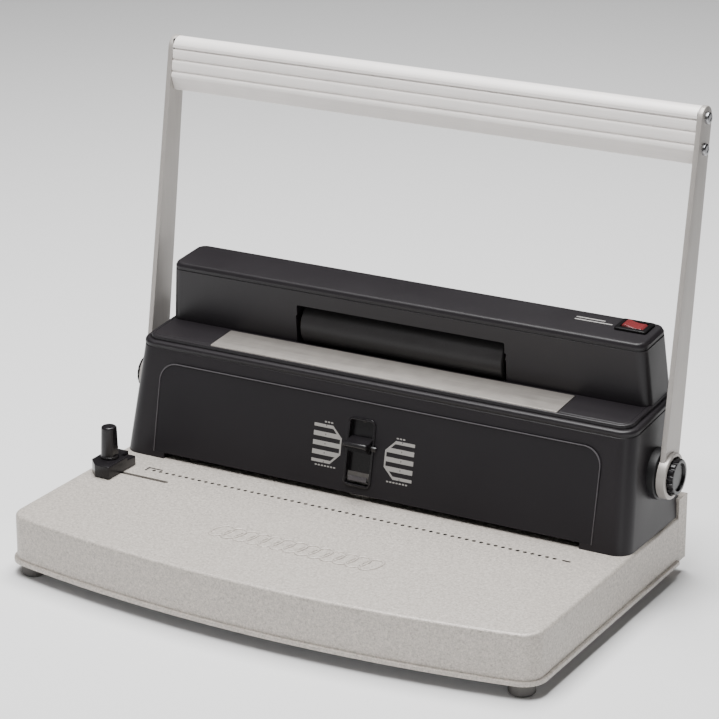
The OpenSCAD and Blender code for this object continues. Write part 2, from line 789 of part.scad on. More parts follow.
module grip_bar() {
  color([0.8, 0.79, 0.77]) on_handle() difference() {
    along_x() linear_extrude(2 * arm_in, center = true) {
      difference() {
        grip_section(0);
        for (share = [0.24, 0.45, 0.72]) translate([-grip_r, arm_len - share * grip_h])
          square([2, 1.2], center = true);
        difference() {
          grip_section(grip_wall);
          for (z = [grip_screw_low, grip_screw_high]) translate([0, z]) square([20, 7], center = true);
        }
      }
    }
    along_x() for (z = [grip_screw_low, grip_screw_high], side = [-1, 1])
      translate([0, z, side * arm_in]) cylinder(d = grip_screw_d, h = 24, center = true, $fn = small);
  }
}

module grip_screws() {
  color([0.5, 0.5, 0.52]) for (side = [-1, 1], z = [grip_screw_low, grip_screw_high])
    on_side(side) on_handle() translate([arm_out, 0, z]) rotate([0, 90, 0]) screw(grip_screw_d, arm_t + 11);
}

module hub(side) {
  color([0.15, 0.15, 0.15]) on_side(side) translate([arm_in, pivot_y, pivot_z]) along_x() difference() {
    cylinder(r = hub_r, h = arm_t, $fn = fine);
    translate([0, 0, -1]) cylinder(d = shaft_d, h = arm_t + 2, $fn = fine);
  }
}

module arm_knob(side) {
  flutes = 16;
  stem_z = arm_out - 8;
  color([0.1, 0.1, 0.105]) on_side(side) translate([0, pivot_y, pivot_z]) along_x() {
    translate([0, 0, arm_out + slide_gap]) difference() {
      cylinder(r = knob_r, h = knob_h, $fn = fine);
      for (i = [0:flutes - 1]) rotate(i * 360 / flutes)
        translate([knob_r + 0.5, 0, -1]) cylinder(r = 1.25, h = knob_h + 2, $fn = 16);
      translate([0, 0, knob_h - 1.5]) cylinder(r = knob_r - 3, h = 2, $fn = fine);
    }
    translate([0, 0, stem_z]) cylinder(d = knob_stem_d, h = arm_out - stem_z + 1, $fn = small);
  }
}

module pivot_boss(side) {
  color([0.24, 0.24, 0.245]) on_side(side) difference() {
    translate([0, pivot_y, pivot_z]) boss_shape();
    translate([0, pivot_y, pivot_z]) along_x() cylinder(d = shaft_d + 2 * slide_gap, h = 400, $fn = fine);
  }
}

// ---------- punch drive ----------

module punch_shaft() {
  color([0.7, 0.7, 0.72]) translate([0, pivot_y, pivot_z]) along_x() difference() {
    cylinder(d = shaft_d, h = 2 * arm_out, center = true, $fn = fine);
    for (side = [-1, 1]) translate([0, 0, side * arm_out])
      cylinder(d = knob_stem_d + 2 * run_gap, h = 26, center = true, $fn = small);
  }
}

module pinion(side) {
  color([0.6, 0.6, 0.62]) on_side(side) translate([pinion_x, pivot_y, pivot_z]) along_x() difference() {
    linear_extrude(pinion_w) gear(pinion_teeth, pinion_m);
    translate([0, 0, -1]) cylinder(d = shaft_d, h = pinion_w + 2, $fn = fine);
  }
}

// Rack on the back of the beam, with a tooth space level with the shaft at rest
module rack(side) {
  y_back = punch_y + beam_t / 2;
  y_pitch = pivot_y - pinion_r;
  pitch = PI * pinion_m;
  half = pitch / 4 - backlash / 4;
  tooth_low = ceil((-rack_margin) / pitch - 0.5);
  tooth_high = floor((travel + rack_margin) / pitch - 0.5);
  z_low = pivot_z + (tooth_low + 0.5) * pitch - pitch / 2;
  z_high = pivot_z + (tooth_high + 0.5) * pitch + pitch / 2;
  root = y_pitch - 1.25 * pinion_m;
  color([0.55, 0.55, 0.57]) on_side(side) translate([pinion_x, 0, 0]) along_x() linear_extrude(pinion_w)
    polygon(concat(
      [[y_back, z_low], [root, z_low]],
      [for (i = [tooth_low:tooth_high]) each
        let (z = pivot_z + (i + 0.5) * pitch)
        [[root, z - half - 1.25 * pinion_m * tan(20)], [y_pitch + rack_tip, z - half + rack_tip * tan(20)],
         [y_pitch + rack_tip, z + half - rack_tip * tan(20)], [root, z + half + 1.25 * pinion_m * tan(20)]]],
      [[root, z_high], [y_back, z_high]]));
}

module punch_beam() {
  color([0.5, 0.5, 0.52]) difference() {
    translate([-beam_half, punch_y - beam_t / 2, beam_bottom]) cube([2 * beam_half, beam_t, beam_h]);
    translate([0, punch_y, 0]) hole_row(pin_d, beam_bottom - 1, beam_bottom + 6);
    for (side = [-1, 1]) translate([side * post_x, punch_y, beam_bottom - 1])
      cylinder(d = post_d + 2 * run_gap, h = beam_h + 2, $fn = small);
  }
}

module punch_pins() {
  color([0.8, 0.8, 0.82]) translate([0, punch_y, 0])
    hole_row(pin_d, base_top + throat_h + tip_gap, beam_bottom + 6);
}

module stripper_block() {
  color([0.58, 0.58, 0.6]) difference() {
    union() {
      translate([-block_half, block_y0, base_top + throat_h])
        cube([2 * block_half, block_y1 - block_y0, stripper_t]);
      for (side = [-1, 1]) on_side(side) translate([throat_half, block_y0, base_top])
        cube([block_half - throat_half, block_y1 - block_y0, throat_h + eps]);
    }
    translate([0, punch_y, 0]) hole_row(pin_d + 2 * run_gap, base_top + throat_h - 1, stripper_top + 1);
  }
}

module die_plate() {
  color([0.52, 0.52, 0.54]) difference() {
    translate([-block_half, block_y0, base_top - die_t]) cube([2 * block_half, block_y1 - block_y0, die_t]);
    translate([0, punch_y, 0]) hole_row(pin_d + 2 * run_gap, base_top - die_t - 1, base_top + 1);
  }
}

module guide_post(side) {
  color([0.78, 0.78, 0.8]) on_side(side) translate([post_x, punch_y, base_top]) {
    cylinder(d = post_d, h = beam_bottom + beam_h - base_top + 4, $fn = small);
    translate([0, 0, -sheet_t - 6]) cylinder(d = 5, h = sheet_t + 6 + eps, $fn = small);
    translate([0, 0, -sheet_t - 4]) cylinder(d = 9, h = 4, $fn = 6);
  }
}

// Compression spring swept along a helix
module return_spring(side) {
  low = base_top + spring_wire / 2 + 0.05;
  high = beam_bottom - spring_wire / 2 - 0.05;
  sides = 6;
  steps = spring_turns * 14;
  rings = [for (i = [0:steps]) let (a = i * 360 / 14, z = low + (high - low) * i / steps)
    [for (k = [0:sides - 1]) let (b = k * 360 / sides, r = spring_r + spring_wire / 2 * cos(b))
      [r * cos(a), r * sin(a), z + spring_wire / 2 * sin(b)]]];
  color([0.7, 0.7, 0.72]) on_side(side) translate([post_x, punch_y, 0]) polyhedron(
    points = [for (ring = rings) each ring],
    faces = concat(
      [[for (k = [0:sides - 1]) k]],
      [for (i = [0:steps - 1], k = [0:sides - 1])
        let (n = (k + 1) % sides, a = i * sides, b = a + sides) [a + k, b + k, b + n, a + n]],
      [[for (k = [sides - 1:-1:0]) steps * sides + k]]));
}

module side_frame(side) {
  top = pivot_z + bush_d / 2 + 10;
  color([0.62, 0.62, 0.64]) on_side(side) difference() {
    union() {
      translate([frame_out - frame_t, frame_y0, base_top]) cube([frame_t, frame_depth, top - base_top]);
      translate([frame_out - 16, frame_y0 + 4, base_top]) cube([16, frame_depth - 4, frame_t]);
    }
    translate([0, pivot_y, pivot_z]) along_x() cylinder(d = bush_d, h = 400, $fn = fine);
    frame_screw_places(1) translate([0, 0, -5]) cylinder(d = 4, h = 20, $fn = small);
  }
}

module frame_screw_places(side) {
  for (y = [frame_y0 + 9, frame_y0 + frame_depth - 5])
    translate([side * (frame_out - 9), y, base_top]) children();
}

module frame_screws() {
  color([0.35, 0.35, 0.36]) for (side = [-1, 1]) frame_screw_places(side)
    translate([0, 0, frame_t]) screw(4, frame_t + sheet_t + 2);
}

module bushing(side) {
  color([0.75, 0.55, 0.25]) on_side(side) translate([0, pivot_y, pivot_z]) along_x() difference() {
    union() {
      translate([0, 0, frame_out - frame_t - 2]) cylinder(d = bush_d, h = frame_t + 2, $fn = fine);
      translate([0, 0, frame_out - frame_t - 2]) cylinder(d = bush_d + 4, h = 2, $fn = fine);
    }
    cylinder(d = shaft_d + 2 * run_gap, h = 400, $fn = fine);
  }
}

// ---------- edge guide ----------

module edge_guide() {
  left = guide_x - 9;
  color([0.1, 0.1, 0.105]) difference() {
    translate([0, 0, base_top]) linear_extrude(guide_h) polygon([
      [left, 3], [left, guide_y - 8], [guide_face_x - 3, guide_y - 15.5], [guide_face_x, guide_y - 15.5],
      [guide_face_x, 3]]);
    // Step that lowers the right half, and the sheet ledge below it
    translate([guide_x + 4, guide_y + 7, base_top + guide_h - 2.5]) cube([20, 40, 10]);
    translate([guide_x, guide_y, base_top - 1]) cylinder(d = guide_stem_d + 2 * run_gap, h = 20, $fn = small);
  }
}

module guide_knob() {
  color([0.12, 0.12, 0.125]) translate([guide_x, guide_y, base_top + guide_h + slide_gap]) difference() {
    rotate_extrude($fn = fine) polygon([
      [0, 0], [guide_knob_d / 2 + 0.3, 0], [guide_knob_d / 2, 1], [guide_knob_d / 2 - 0.6, guide_knob_h - 2],
      [guide_knob_d / 2 - 2, guide_knob_h - 0.4], [0, guide_knob_h]]);
    translate([0, 0, -1]) cylinder(d = guide_stem_d + 2 * run_gap, h = guide_bolt_in + 2, $fn = small);
  }
}

// T-bolt: its foot lies under the base's sheet, and its stud goes up through slot and guide into the knob
module guide_bolt() {
  color([0.6, 0.6, 0.62]) translate([guide_x, guide_y, base_top - sheet_t - slide_gap - 3]) {
    translate([-6, -5, 0]) cube([12, 10, 3]);
    cylinder(d = guide_stem_d, h = 3 + sheet_t + guide_h + 2 * slide_gap + guide_bolt_in, $fn = small);
  }
}

// ---------- chip drawer ----------

function drawer_top() = base_top - travel - 2.4 + throat_h;

module chip_drawer() {
  y0 = rear_reach + panel_gap;
  color([0.72, 0.71, 0.69]) {
    difference() {
      translate([-base_w / 2, y0, foot_h + 0.5]) cube([base_w, drawer_panel_t, base_h + panel_rise - 0.5]);
      translate([-base_w / 2 + 2, y0 - 1, foot_h + 2.5])
        cube([base_w - 4, drawer_panel_t - 1.5, base_h + panel_rise - 4.5]);
      translate([-40, drawer_rear - 1.2, foot_h + 6]) cube([80, 5, 12]);
    }
    difference() {
      translate([-drawer_half, drawer_front, drawer_floor])
        cube([2 * drawer_half, drawer_rear - drawer_front - 1.5, drawer_top() - drawer_floor]);
      translate([-drawer_half + drawer_t, drawer_front + drawer_t, drawer_floor + drawer_t])
        cube([2 * (drawer_half - drawer_t), y0 - drawer_front - 2 * drawer_t - 3, 60]);
      translate([-drawer_half + drawer_t, y0 - 1, drawer_floor + drawer_t])
        cube([2 * (drawer_half - drawer_t), drawer_panel_t - 2.5, 60]);
    }
  }
}

// ---------- screws of the housing ----------

module housing_screw_places(side) {
  for (y = [housing_front + 8.5, rear_reach - 9])
    translate([side * (housing_half - 7), y, base_top]) children();
}

module housing_screws() {
  color([0.35, 0.35, 0.36]) for (side = [-1, 1]) housing_screw_places(side)
    translate([0, 0, -sheet_t]) mirror([0, 0, 1]) screw(3, sheet_t + 9);
}

// ---------- derived shapes used by more than one piece ----------

function trough_r() = roller_d / 2 + trough_gap;
function strip_half() = row_len / 2 - 20;
function strip_depth() = 4.6;
function strip_w() = 26.5;
function panel_half() = lip_half - 24;
function panel_z0() = base_top + panel_rise + 6;
function panel_z1() = base_top + lip_h - 10;
// The link pin stays just ahead of the punch beam with the selector at its highest
function link_pin_y() = punch_y - beam_t / 2 - slide_gap - selector_up * sin(front_lean)
  - fork_wall - run_gap - link_pin_d / 2;
function fork_low() = base_top + link_pin_h - 11.5 - 3;
function fork_high() = base_top + link_pin_h + 15.5 + 3;
// Where the selector's plate crosses a given height
function fork_front(z) = housing_front + (z - base_top) * tan(front_lean)
  + (wall_t + slide_gap + plate_t / 2) / cos(front_lean);

translate([0, -centre_y, 0]) {
  base_cover();
  base_plate();
  feet();
  foot_screws();
  lower_housing();
  upper_housing();
  back_panel();
  panel_screws();
  front_panel();
  depth_selector();
  depth_gauge();
  bed_strip();
  roller_sleeve();
  roller_core();
  roller_shaft();
  roller_bush(-1);  // roller_bush_left
  roller_bush(1);  // roller_bush_right
  roller_gear();
  gear_motor();
  motor_shaft();
  motor_bracket();
  motor_pinion();
  switch_bezel();
  switch_rocker();
  power_inlet();
  control_board();
  arm(-1);  // left_arm
  arm(1);  // right_arm
  grip_bar();
  grip_screws();
  punch_shaft();
  pinion(-1);  // left_pinion
  pinion(1);  // right_pinion
  hub(-1);  // left_hub
  hub(1);  // right_hub
  arm_knob(-1);  // left_arm_knob
  arm_knob(1);  // right_arm_knob
  pivot_boss(-1);  // left_pivot_boss
  pivot_boss(1);  // right_pivot_boss
  side_frame(-1);  // left_side_frame
  side_frame(1);  // right_side_frame
  frame_screws();
  bushing(-1);  // left_bushing
  bushing(1);  // right_bushing
  punch_beam();
  rack(-1);  // left_rack
  rack(1);  // right_rack
  punch_pins();
  stripper_block();
  die_plate();
  guide_post(-1);  // left_guide_post
  guide_post(1);  // right_guide_post
  return_spring(-1);  // left_return_spring
  return_spring(1);  // right_return_spring
  edge_guide();
  guide_knob();
  guide_bolt();
  chip_drawer();
  housing_screws();
}
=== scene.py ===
import json
import math

import bmesh
import bpy
from bpy.props import FloatProperty, FloatVectorProperty, IntProperty, PointerProperty
from mathutils import Matrix, Vector


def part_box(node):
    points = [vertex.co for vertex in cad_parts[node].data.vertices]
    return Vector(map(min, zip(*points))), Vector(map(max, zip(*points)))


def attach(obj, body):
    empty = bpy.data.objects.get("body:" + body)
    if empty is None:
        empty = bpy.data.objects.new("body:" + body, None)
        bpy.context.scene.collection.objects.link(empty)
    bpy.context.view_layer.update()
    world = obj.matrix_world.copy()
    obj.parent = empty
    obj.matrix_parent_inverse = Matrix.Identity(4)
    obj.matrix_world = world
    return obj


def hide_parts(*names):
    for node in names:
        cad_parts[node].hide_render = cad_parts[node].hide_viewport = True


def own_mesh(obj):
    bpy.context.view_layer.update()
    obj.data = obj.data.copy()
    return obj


bl_info = {
    "name": "Coil Punch Builder",
    "version": (1, 0, 0),
    "blender": (4, 2, 0),
    "location": "View3D > Sidebar > Coil Punch",
    "description": "Builds a tabletop coil punch with an electric coil inserter over its mechanical frame",
    "category": "Add Mesh",
}

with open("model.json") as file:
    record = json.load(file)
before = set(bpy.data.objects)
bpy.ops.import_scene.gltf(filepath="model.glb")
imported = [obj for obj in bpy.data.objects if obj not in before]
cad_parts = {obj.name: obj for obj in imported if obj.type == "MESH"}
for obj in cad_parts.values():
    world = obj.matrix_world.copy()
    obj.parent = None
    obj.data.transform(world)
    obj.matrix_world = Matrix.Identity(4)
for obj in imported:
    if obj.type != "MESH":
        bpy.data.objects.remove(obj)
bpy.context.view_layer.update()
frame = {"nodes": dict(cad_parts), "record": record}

# ---------- places, in millimetres, with Y counted from the row of gauge marks ----------

MM = Matrix.Scale(0.001, 4)  # pieces are drawn in millimetres and settled in metres
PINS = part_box("punch_pins")
GAUGE_Y = (PINS[0].y + PINS[1].y) * 500 - 50  # row of gauge marks, 50 mm ahead of the punch pins

# Base: heights, half its width, Y of its front's corners and of its rear, and how far the front bows out
BASE_TOP = 41.5
FOOT = 9.0
LIP_TOP = FOOT + 2.5
BASE_HALF = 187.5
FRONT = -107.0
BOW = 19.0
REAR = 98.0
GUIDE = (-173.32, -13.3)  # X and Y of the edge guide's stud

# Housings: Y of the front wall's foot and top, heights, half widths, and places on the deck and the wall
FRONT_FOOT = 21.0
DECK_FRONT = 36.0
DECK_RISE = 76.0
DECK_TILT = 5
LEAN = math.degrees(math.atan((DECK_FRONT - FRONT_FOOT) / DECK_RISE))
BODY_HALF = 186.0
LIP_HALF = 181.0
DECK_HALF = 177.2
DECK_DEPTH = 74.5
BLOCK_FRONT = 34.0
BLOCK_REAR = 70.5
BLOCK_HIGH = 44.0
STRIP_Y = 17.85
ROLLER = (49.2, 12.0)  # Y and Z of its axis on the deck
TROUGH_HALF = 77.5
SWITCH = (156, 58, BLOCK_HIGH)
WINDOW = (-6, 31.5, 0)  # middle of the selector's opening on the front wall

# Handle: its pivot's Y and Z, its tilt, X of the boss's face and of both sides of an arm, an arm's length
# and the grip screws' distances from the pivot
PIVOT = (70, BASE_TOP + 39.5)
HANDLE_TILT = -9
BOSS_OUT = 188.2
ARM_IN = 189.0
ARM_OUT = 192.5
ARM_LEN = 232.0
GRIP_SCREWS = (205.2, 224.5)


def turned(x, y, z, degrees):
    """A place on the machine, in millimetres from the gauge row, tipped about X"""
    return MM @ Matrix.Translation((x, y + GAUGE_Y, z)) @ Matrix.Rotation(math.radians(degrees), 4, "X")


ON_BASE = turned(0, 0, 0, 0)
ON_DECK = turned(0, DECK_FRONT, BASE_TOP + DECK_RISE, DECK_TILT)
ON_FRONT = turned(0, FRONT_FOOT, BASE_TOP, 90 - LEAN)
ON_HANDLE = turned(0, *PIVOT, HANDLE_TILT)
ON_PIVOT = turned(0, *PIVOT, 0)
ON_SWITCH = ON_DECK @ Matrix.Translation(SWITCH)


# ---------- modelling helpers ----------


def clear_choice():
    """Leaves edit mode and deselects everything"""
    if bpy.context.object and bpy.context.object.mode != "OBJECT":
        bpy.ops.object.mode_set(mode="OBJECT")
    bpy.ops.object.select_all(action="DESELECT")


def take(piece):
    """Makes one piece the active, selected one"""
    clear_choice()
    piece.select_set(True)
    bpy.context.view_layer.objects.active = piece


def apply_place():
    """Writes the selected piece's place, turn and size into its mesh"""
    bpy.ops.object.transform_apply(location=True, rotation=True, scale=True)


def edit(piece):
    """Opens a piece in edit mode"""
    take(piece)
    bpy.ops.object.mode_set(mode="EDIT")


def edit_all(piece):
    """Opens a piece in edit mode with everything selected"""
    edit(piece)
    bpy.ops.mesh.select_all(action="SELECT")


def done():
    """Leaves edit mode"""
    bpy.ops.object.mode_set(mode="OBJECT")


def face_out(piece):
    """Turns all faces of a piece outward"""
    edit_all(piece)
    bpy.ops.mesh.normals_make_consistent(inside=False)
    done()


def shift(piece, value):
    """Moves the whole mesh of a piece"""
    edit_all(piece)
    bpy.ops.transform.translate(value=value)
    done()


def choose(kind, test):
    """Selects the verts, edges or faces that pass a test, in edit mode"""
    bpy.ops.mesh.select_mode(type=kind)
    bpy.ops.mesh.select_all(action="DESELECT")
    mesh = bmesh.from_edit_mesh(bpy.context.object.data)
    found = 0
    for item in {"VERT": mesh.verts, "EDGE": mesh.edges, "FACE": mesh.faces}[kind]:
        if test(item):
            item.select_set(True)
            found += 1
    mesh.select_flush_mode()
    bmesh.update_edit_mesh(bpy.context.object.data)
    return found


def middle(item):
    """Centre of a face's corners or of an edge's ends"""
    if isinstance(item, bmesh.types.BMFace):
        return item.calc_center_median()
    return sum((v.co for v in item.verts), Vector()) / len(item.verts)


def along(edge, axis):
    """Whether an edge runs along an axis"""
    d = edge.verts[1].co - edge.verts[0].co
    return d.length > 0 and abs(d[axis]) > 0.99 * d.length


def block(size, centre, corner=0, segments=4):
    """A box in millimetres, with its upright edges rounded if a radius is given"""
    clear_choice()
    bpy.ops.mesh.primitive_cube_add(size=1, location=centre)
    bpy.ops.transform.resize(value=size)
    apply_place()
    box = bpy.context.object
    if corner:
        soften(box, lambda e: along(e, 2), corner, segments)
    return box


def rod(radius, length, centre, axis="X", sides=64):
    """A cylinder about an axis"""
    clear_choice()
    turn = {"X": (0, math.pi / 2, 0), "Y": (math.pi / 2, 0, 0), "Z": (0, 0, 0)}[axis]
    bpy.ops.mesh.primitive_cylinder_add(vertices=sides, radius=radius, depth=length, location=centre,
                                        rotation=turn)
    apply_place()
    return bpy.context.object


def soften(piece, test, width, segments=3, affect="EDGES"):
    """Rounds the edges, or the corners of a flat outline, that pass a test"""
    edit(piece)
    if choose("VERT" if affect == "VERTICES" else "EDGE", test):
        bpy.ops.mesh.bevel(offset=width, segments=segments, affect=affect, profile=0.5)
    done()


def inset_faces(piece, test, *steps):
    """Insets the faces that pass a test, once for each thickness and depth"""
    edit(piece)
    choose("FACE", test)
    for thickness, depth in steps:
        bpy.ops.mesh.inset(thickness=thickness, depth=depth)
    done()


def modify(piece, kind, **settings):
    """Adds a modifier and applies it"""
    take(piece)
    mod = piece.modifiers.new(kind.title(), kind)
    for key, value in settings.items():
        setattr(mod, key, value)
    bpy.ops.object.modifier_apply(modifier=mod.name)


def combine(piece, tool, how="DIFFERENCE"):
    """Cuts a piece with another, or fuses them"""
    modify(piece, "BOOLEAN", operation=how, solver="EXACT", object=tool)
    bpy.data.objects.remove(tool, do_unlink=True)
    if not piece.data.polygons:
        raise RuntimeError(f"{how.lower()} left nothing of {piece.name}")


def ring(half, near, far, radius, height, tilt=None, steps=7):
    """Outline of a rounded rectangle, square to Z unless it is tilted"""
    clear_choice()
    bpy.ops.mesh.primitive_plane_add(size=1, location=(0, (near + far) / 2, height))
    bpy.ops.transform.resize(value=(2 * half, far - near, 1))
    apply_place()
    outline = bpy.context.object
    edit_all(outline)
    bpy.ops.mesh.bevel(offset=radius, segments=steps, affect="VERTICES", profile=0.5)
    bpy.ops.mesh.delete(type="ONLY_FACE")
    done()
    if tilt is not None:
        outline.matrix_world = tilt
        apply_place()
    return outline


def loft(rings, hollow=False):
    """Skins a row of outlines, and closes its ends, or its last outline to its first"""
    count = len(rings[0].data.vertices)
    body = rings[0]
    for outline in rings[1:]:
        take(body)
        outline.select_set(True)
        bpy.ops.object.join()
    edit(body)
    last = len(rings) - 1
    pairs = [(k, k + 1) for k in range(last)] + ([(last, 0)] if hollow else [])
    for a, b in pairs:
        choose("EDGE", lambda e: all(v.index // count in (a, b) for v in e.verts)
               and e.verts[0].index // count == e.verts[1].index // count)
        bpy.ops.mesh.bridge_edge_loops()
    if not hollow:
        for k in (0, last):
            choose("EDGE", lambda e: all(v.index // count == k for v in e.verts))
            bpy.ops.mesh.edge_face_add()
    bpy.ops.mesh.select_all(action="SELECT")
    bpy.ops.mesh.normals_make_consistent(inside=False)
    done()
    return body


def profile_bar(points, half):
    """Extrudes a closed outline of (Y, Z) points along X, both ways"""
    clear_choice()
    bpy.ops.mesh.primitive_circle_add(vertices=len(points), radius=1, fill_type="NGON")
    bar = bpy.context.object
    edit(bar)
    mesh = bmesh.from_edit_mesh(bar.data)
    mesh.verts.ensure_lookup_table()
    for vert, (y, z) in zip(mesh.verts, points):
        vert.co = (-half, y, z)
    bmesh.update_edit_mesh(bar.data)
    bpy.ops.mesh.select_all(action="SELECT")
    bpy.ops.mesh.extrude_region_move(TRANSFORM_OT_translate={"value": (2 * half, 0, 0)})
    bpy.ops.mesh.select_all(action="SELECT")
    bpy.ops.mesh.normals_make_consistent(inside=False)
    done()
    return bar


def copies(piece, places):
    """Copies a piece to each place, joins the copies and removes the piece"""
    made = [duplicate(piece, place) for place in places]
    bpy.data.objects.remove(piece, do_unlink=True)
    take(made[0])
    for other in made[1:]:
        other.select_set(True)
    bpy.ops.object.join()
    return made[0]


def row(piece, count, step):
    """Repeats a piece in a straight row"""
    modify(piece, "ARRAY", count=count, use_relative_offset=False, use_constant_offset=True,
           constant_offset_displace=step)


def duplicate(piece, place=None):
    """A copy with its own mesh"""
    take(piece)
    bpy.ops.object.duplicate(linked=False)
    twin = bpy.context.object
    if place is not None:
        twin.matrix_world = place @ twin.matrix_world
        apply_place()
    return twin


def node_copy(node):
    """A free copy of a frame node with its doubles merged"""
    source = frame["nodes"][node]
    place = source.matrix_world.copy()
    copy = source.copy()
    copy.data = source.data.copy()
    copy.parent = None
    bpy.context.scene.collection.objects.link(copy)
    copy.matrix_world = place
    edit_all(copy)
    bpy.ops.mesh.remove_doubles(threshold=0.000002)
    done()
    return copy


def settle(piece, name, place, body, slot, *nodes, look=None, angle=30):
    """Puts a drawn piece in its place, shades it and ties it to its body.
    Its finish has its slot's name unless look says another"""
    take(piece)
    piece.matrix_world = place @ piece.matrix_world
    apply_place()
    if place.determinant() < 0:
        face_out(piece)
    bpy.ops.object.shade_smooth_by_angle(angle=math.radians(angle))
    piece.name = name
    piece.data.name = name
    piece.data.materials.clear()
    piece.data.materials.append(material(look or slot))
    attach(piece, body)
    if nodes:
        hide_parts(*nodes)
    return piece


MIRROR = Matrix.Scale(-1, 4, (1, 0, 0))

# ---------- finishes ----------


def fill(node, values):
    """Sets inputs of a shader node"""
    for key, value in values.items():
        node.inputs[key].default_value = value


def finish(name, colour, rough, metal=0.0, mottle=(40, 0.06), rough_spread=0.08, grain=(2500, 0.12, 4),
           streak=None, dust=0.0, specular=0.5, coat=0.0, ior=1.5):
    """A painted, moulded, rubber or metal finish in Object coordinates.
    mottle is a scale and a share of colour change, grain a scale, a strength and a height in hundredths
    of a millimetre, streak the axis that brushing runs along, and ior sets how strongly it shines"""
    mat = bpy.data.materials.get("look_" + name)
    if mat:
        return mat
    mat = bpy.data.materials.new("look_" + name)
    mat.use_nodes = True
    tree = mat.node_tree
    join = tree.links.new

    def add(kind, **settings):
        node = tree.nodes.new("ShaderNode" + kind)
        for key, value in settings.items():
            setattr(node, key, value)
        return node

    shader = tree.nodes["Principled BSDF"]
    fill(shader, {"Metallic": metal, "Specular IOR Level": specular, "IOR": ior, "Coat Weight": coat,
                  "Coat Roughness": 0.12})
    coords = add("TexCoord")
    spread = add("Mapping")
    join(coords.outputs["Object"], spread.inputs["Vector"])
    if streak is not None:
        scale = [1.0, 1.0, 1.0]
        scale[streak] = 0.012
        fill(spread, {"Scale": scale})

    def noise(size, detail, source):
        node = add("TexNoise")
        fill(node, {"Scale": size, "Detail": detail})
        join(source, node.inputs["Vector"])
        return node

    cloud = noise(mottle[0], 4, coords.outputs["Object"])
    fine = noise(grain[0], 3, spread.outputs["Vector"])
    ramp = add("ValToRGB")
    low = [c * (1 - mottle[1]) for c in colour]
    high = [min(c * (1 + mottle[1]), 1) for c in colour]
    ramp.color_ramp.elements[0].position = 0.3
    ramp.color_ramp.elements[0].color = (*low, 1)
    ramp.color_ramp.elements[1].position = 0.7
    ramp.color_ramp.elements[1].color = (*high, 1)
    blend = add("Math", operation="MULTIPLY_ADD")
    fill(blend, {1: 0.6})
    join(fine.outputs["Fac"], blend.inputs[0])
    part = add("Math", operation="MULTIPLY")
    fill(part, {1: 0.4})
    join(cloud.outputs["Fac"], part.inputs[0])
    join(part.outputs[0], blend.inputs[2])
    join(blend.outputs[0], ramp.inputs["Fac"])
    tone = ramp.outputs["Color"]
    if dust:
        worn = add("Mix", data_type="RGBA")
        fill(worn, {"B": (*[min(c * 1.6 + 0.03, 1) for c in colour], 1)})
        spots = noise(9, 6, coords.outputs["Object"])
        limit = add("MapRange")
        fill(limit, {"From Min": 0.5, "From Max": 0.8, "To Max": dust})
        join(spots.outputs["Fac"], limit.inputs["Value"])
        join(limit.outputs["Result"], worn.inputs["Factor"])
        join(tone, worn.inputs["A"])
        tone = worn.outputs["Result"]
    join(tone, shader.inputs["Base Color"])
    sheen = add("MapRange")
    fill(sheen, {"To Min": max(rough - rough_spread, 0.03), "To Max": min(rough + rough_spread, 1)})
    join((fine if streak is not None else cloud).outputs["Fac"], sheen.inputs["Value"])
    join(sheen.outputs["Result"], shader.inputs["Roughness"])
    bump = add("Bump")
    fill(bump, {"Strength": grain[1], "Distance": grain[2] / 1e5})
    join(fine.outputs["Fac"], bump.inputs["Height"])
    join(bump.outputs["Normal"], shader.inputs["Normal"])
    return mat


# Finishes that two pieces share
SILVER = dict(colour=(0.49, 0.45, 0.408), rough=0.44, metal=0.15, mottle=(480, 0.34),
              grain=(1000, 0.9, 35), coat=0.12, ior=1.4)
SHELL = dict(colour=(0.0138, 0.0118, 0.0138), rough=0.42, rough_spread=0.05, mottle=(25, 0.10),
             grain=(2600, 0.35, 6), dust=0.04, ior=1.4)

